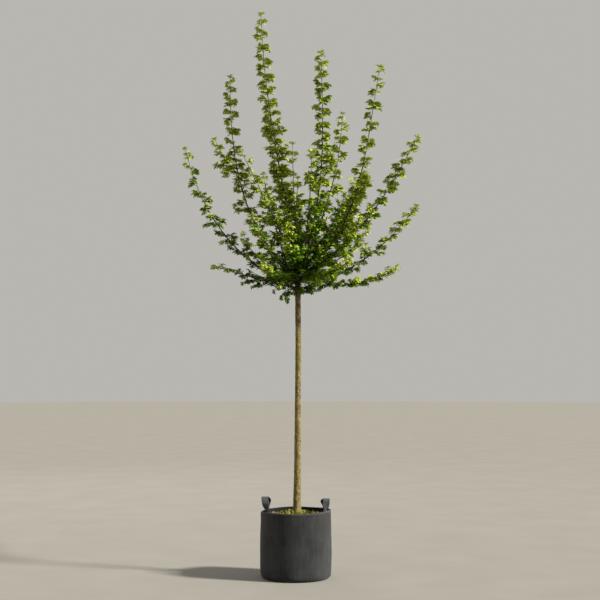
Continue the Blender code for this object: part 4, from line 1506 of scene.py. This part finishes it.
def soil_height(x, y):
    share = min(math.hypot(x, y) / inner_radius(SOIL_TOP), 1)
    mound = SOIL_TOP - SOIL_MOUND * max(share - SOIL_LEVEL_SHARE, 0) ** SOIL_FALL_POWER
    rough = 0
    for depth, fine, layer in SOIL_ROUGHNESS:
        rough += depth * noise.noise(Vector((x * fine, y * fine, layer)))
    return mound + rough - SOIL_SINK


def on_soil(p, lift=0):
    """The place on the compost at a point's x and y, lifted a little."""
    return Vector((p.x, p.y, soil_height(p.x, p.y) + lift))


def build_compost():
    azimuths = turns(SOIL_SIDES)
    edge = inner_radius(SOIL_TOP) - SOIL_GAP
    points = [place_at(azimuth, edge - inset, z) for inset, z in SOIL_SIDE for azimuth in azimuths]
    for ring in range(SOIL_RINGS):
        radius = edge * (1 - ring / SOIL_RINGS)
        points += [on_soil(around(azimuth) * radius) for azimuth in azimuths]
    bundle = Bundle()
    bundle.add(points, ring_faces(len(SOIL_SIDE) + SOIL_RINGS, SOIL_SIDES))
    bundle.build("compost_surface", [compost_look()], ["compost"])


def chip(rng, place, size):
    """Points and faces of one irregular crumb or chip."""
    tilt = Quaternion(around(rng.uniform(0, 360)), rng.uniform(-0.5, 0.5))
    turn = Quaternion((0, 0, 1), rng.uniform(0, math.tau))
    points = []
    for corner in CHIP_CORNERS:
        points.append(place + tilt @ (turn @ (Vector(corner) * rng.uniform(0.8, 1.2))) * size)
    sides = len(CHIP_CORNERS) - 2
    faces = []
    for i in range(sides):
        after = (i + 1) % sides
        faces += [(i, after, sides), (after, i, sides + 1)]
    return points, faces


def build_crumbs():
    """Crumbs and bark chips over the compost, and pale bits of compost beside the rim on the left, made pale
    as painted sunlight.
    """
    rng = random.Random("crumbs")
    bundle = Bundle()
    reach = inner_radius(SOIL_TOP) - CRUMB_EDGE
    least, more = CRUMB_SIZES
    for _ in range(CRUMBS):
        radius = reach * math.sqrt(rng.random())
        p = around(rng.uniform(0, 360)) * radius
        if radius < STEM_CLEARANCE:
            continue
        size = least + more * rng.random() ** 3
        look = rng.choice((0, 0, 0, 1, 1, 1, 2))
        bundle.add(*chip(rng, on_soil(p, size * CRUMB_LIFT), size), look)
    # Painted light: pale chips where the sun falls on the compost inside the rim
    for _ in range(PALE_SUNLIT_BITS):
        p = around(rng.uniform(*PALE_SUNLIT_BIT_AZIMUTHS)) * rng.uniform(*PALE_SUNLIT_BIT_RADII)
        bundle.add(*chip(rng, on_soil(p, PALE_SUNLIT_BIT_LIFT), rng.uniform(*PALE_SUNLIT_BIT_SIZES)), 3)
    looks = [
        plain_look("crumb dark", (30, 24, 16), 0.95),
        plain_look("crumb brown", (60, 46, 29), 0.9),
        plain_look("crumb light", (122, 98, 62), 0.9),
        plain_look("pale bits painted sunlight", (206, 188, 140), 0.85),
    ]
    bundle.build("crumbs", looks, smooth_faces=False)


def blade(rng, place, height, lean):
    """A narrow bent blade of a small weed or moss shoot."""
    out = around(rng.uniform(0, 360))
    side = out.cross(Vector((0, 0, 1)))
    width = height * rng.uniform(0.10, 0.17)
    points = []
    for i in range(BLADE_STEPS):
        t = i / BLADE_STEPS
        p = place + out * (lean * height * t * t) + Vector((0, 0, height * t))
        points += [p - side * width * (1 - t * 0.5), p + side * width * (1 - t * 0.5)]
    points.append(place + out * (lean * height) + Vector((0, 0, height * (1 - lean * 0.3))))
    faces = [(2 * i, 2 * i + 1, 2 * i + 3, 2 * i + 2) for i in range(BLADE_STEPS - 1)]
    faces.append((2 * BLADE_STEPS - 2, 2 * BLADE_STEPS - 1, 2 * BLADE_STEPS))
    return points, faces


def build_moss():
    """Tufts of moss and small weeds round the stem, tallest close to it."""
    rng = random.Random("moss")
    bundle = Bundle()
    nearest, further = MOSS_RADII
    for _ in range(MOSS_TUFTS):
        radius = nearest + further * rng.random() ** 0.9
        p = around(rng.uniform(0, 360)) * radius
        p.x += MOSS_SHIFT
        tall = rng.uniform(*MOSS_HEIGHTS) * (1.20 - radius / 0.16)
        for _ in range(rng.randint(*MOSS_BLADES)):
            q = Vector((p.x + rng.gauss(0, MOSS_SPREAD), p.y + rng.gauss(0, MOSS_SPREAD), 0))
            if math.hypot(q.x, q.y) > MOSS_LIMIT:
                continue
            look = rng.choice((0, 0, 1, 1, 2, 3))
            height = tall * rng.uniform(0.6, 1.3)
            bundle.add(*blade(rng, on_soil(q, -MOSS_SUNK), height, rng.uniform(0.2, 0.9)), look)
    looks = [
        plain_look("moss light", (158, 156, 58), 0.8),
        plain_look("moss", (118, 122, 38), 0.8),
        plain_look("moss deep", (78, 88, 26), 0.8),
        plain_look("moss dry", (170, 146, 78), 0.85),
    ]
    bundle.build("moss", looks)


# Stage


def build_floor():
    mesh = bpy.data.meshes.new("floor")
    shape = bmesh.new()
    bmesh.ops.create_circle(shape, cap_ends=True, radius=FLOOR_RADIUS, segments=FLOOR_SIDES)
    shape.to_mesh(mesh)
    shape.free()
    mesh.materials.append(floor_look())
    floor = bpy.data.objects.new("floor", mesh)
    floor.location.z = -FLOOR_DROP
    bpy.context.scene.collection.objects.link(floor)


def add_light(name, kind, place, target, size, energy, rgb):
    """A soft sun, with its size in degrees, or a soft round lamp, with its size in metres."""
    data = bpy.data.lights.new(name, kind)
    if kind == "SUN":
        data.angle = math.radians(size)
    else:
        data.shape = "DISK"
        data.size = size
    data.energy = energy
    data.color = rgb
    light = bpy.data.objects.new(name, data)
    light.location = place
    light.rotation_mode = "QUATERNION"
    light.rotation_quaternion = (Vector(target) - Vector(place)).to_track_quat("-Z", "Y")
    bpy.context.scene.collection.objects.link(light)


def build_stage():
    build_floor()
    add_light("key", "SUN", *SUN_LIGHT)
    add_light("back", "AREA", *BACK_LAMP)
    world = bpy.data.worlds.new("studio")
    world.use_nodes = True
    background = world.node_tree.nodes["Background"]
    background.inputs["Color"].default_value = colour(SKY_TONE)
    background.inputs["Strength"].default_value = SKY_STRENGTH
    bpy.context.scene.world = world
    camera = bpy.data.objects.new("camera", bpy.data.cameras.new("camera"))
    camera.location = CAMERA_PLACE
    camera.rotation_euler = (math.radians(90 + CAMERA_PITCH), 0, 0)
    camera.data.lens = CAMERA_LENS
    camera.data.sensor_width = CAMERA_SENSOR
    bpy.context.scene.collection.objects.link(camera)
    bpy.context.scene.camera = camera
    bpy.context.scene.view_settings.view_transform = "Standard"


build_stage()
build_bark()
build_crown()
build_bag()
build_handles()
build_compost()
build_crumbs()
build_moss()
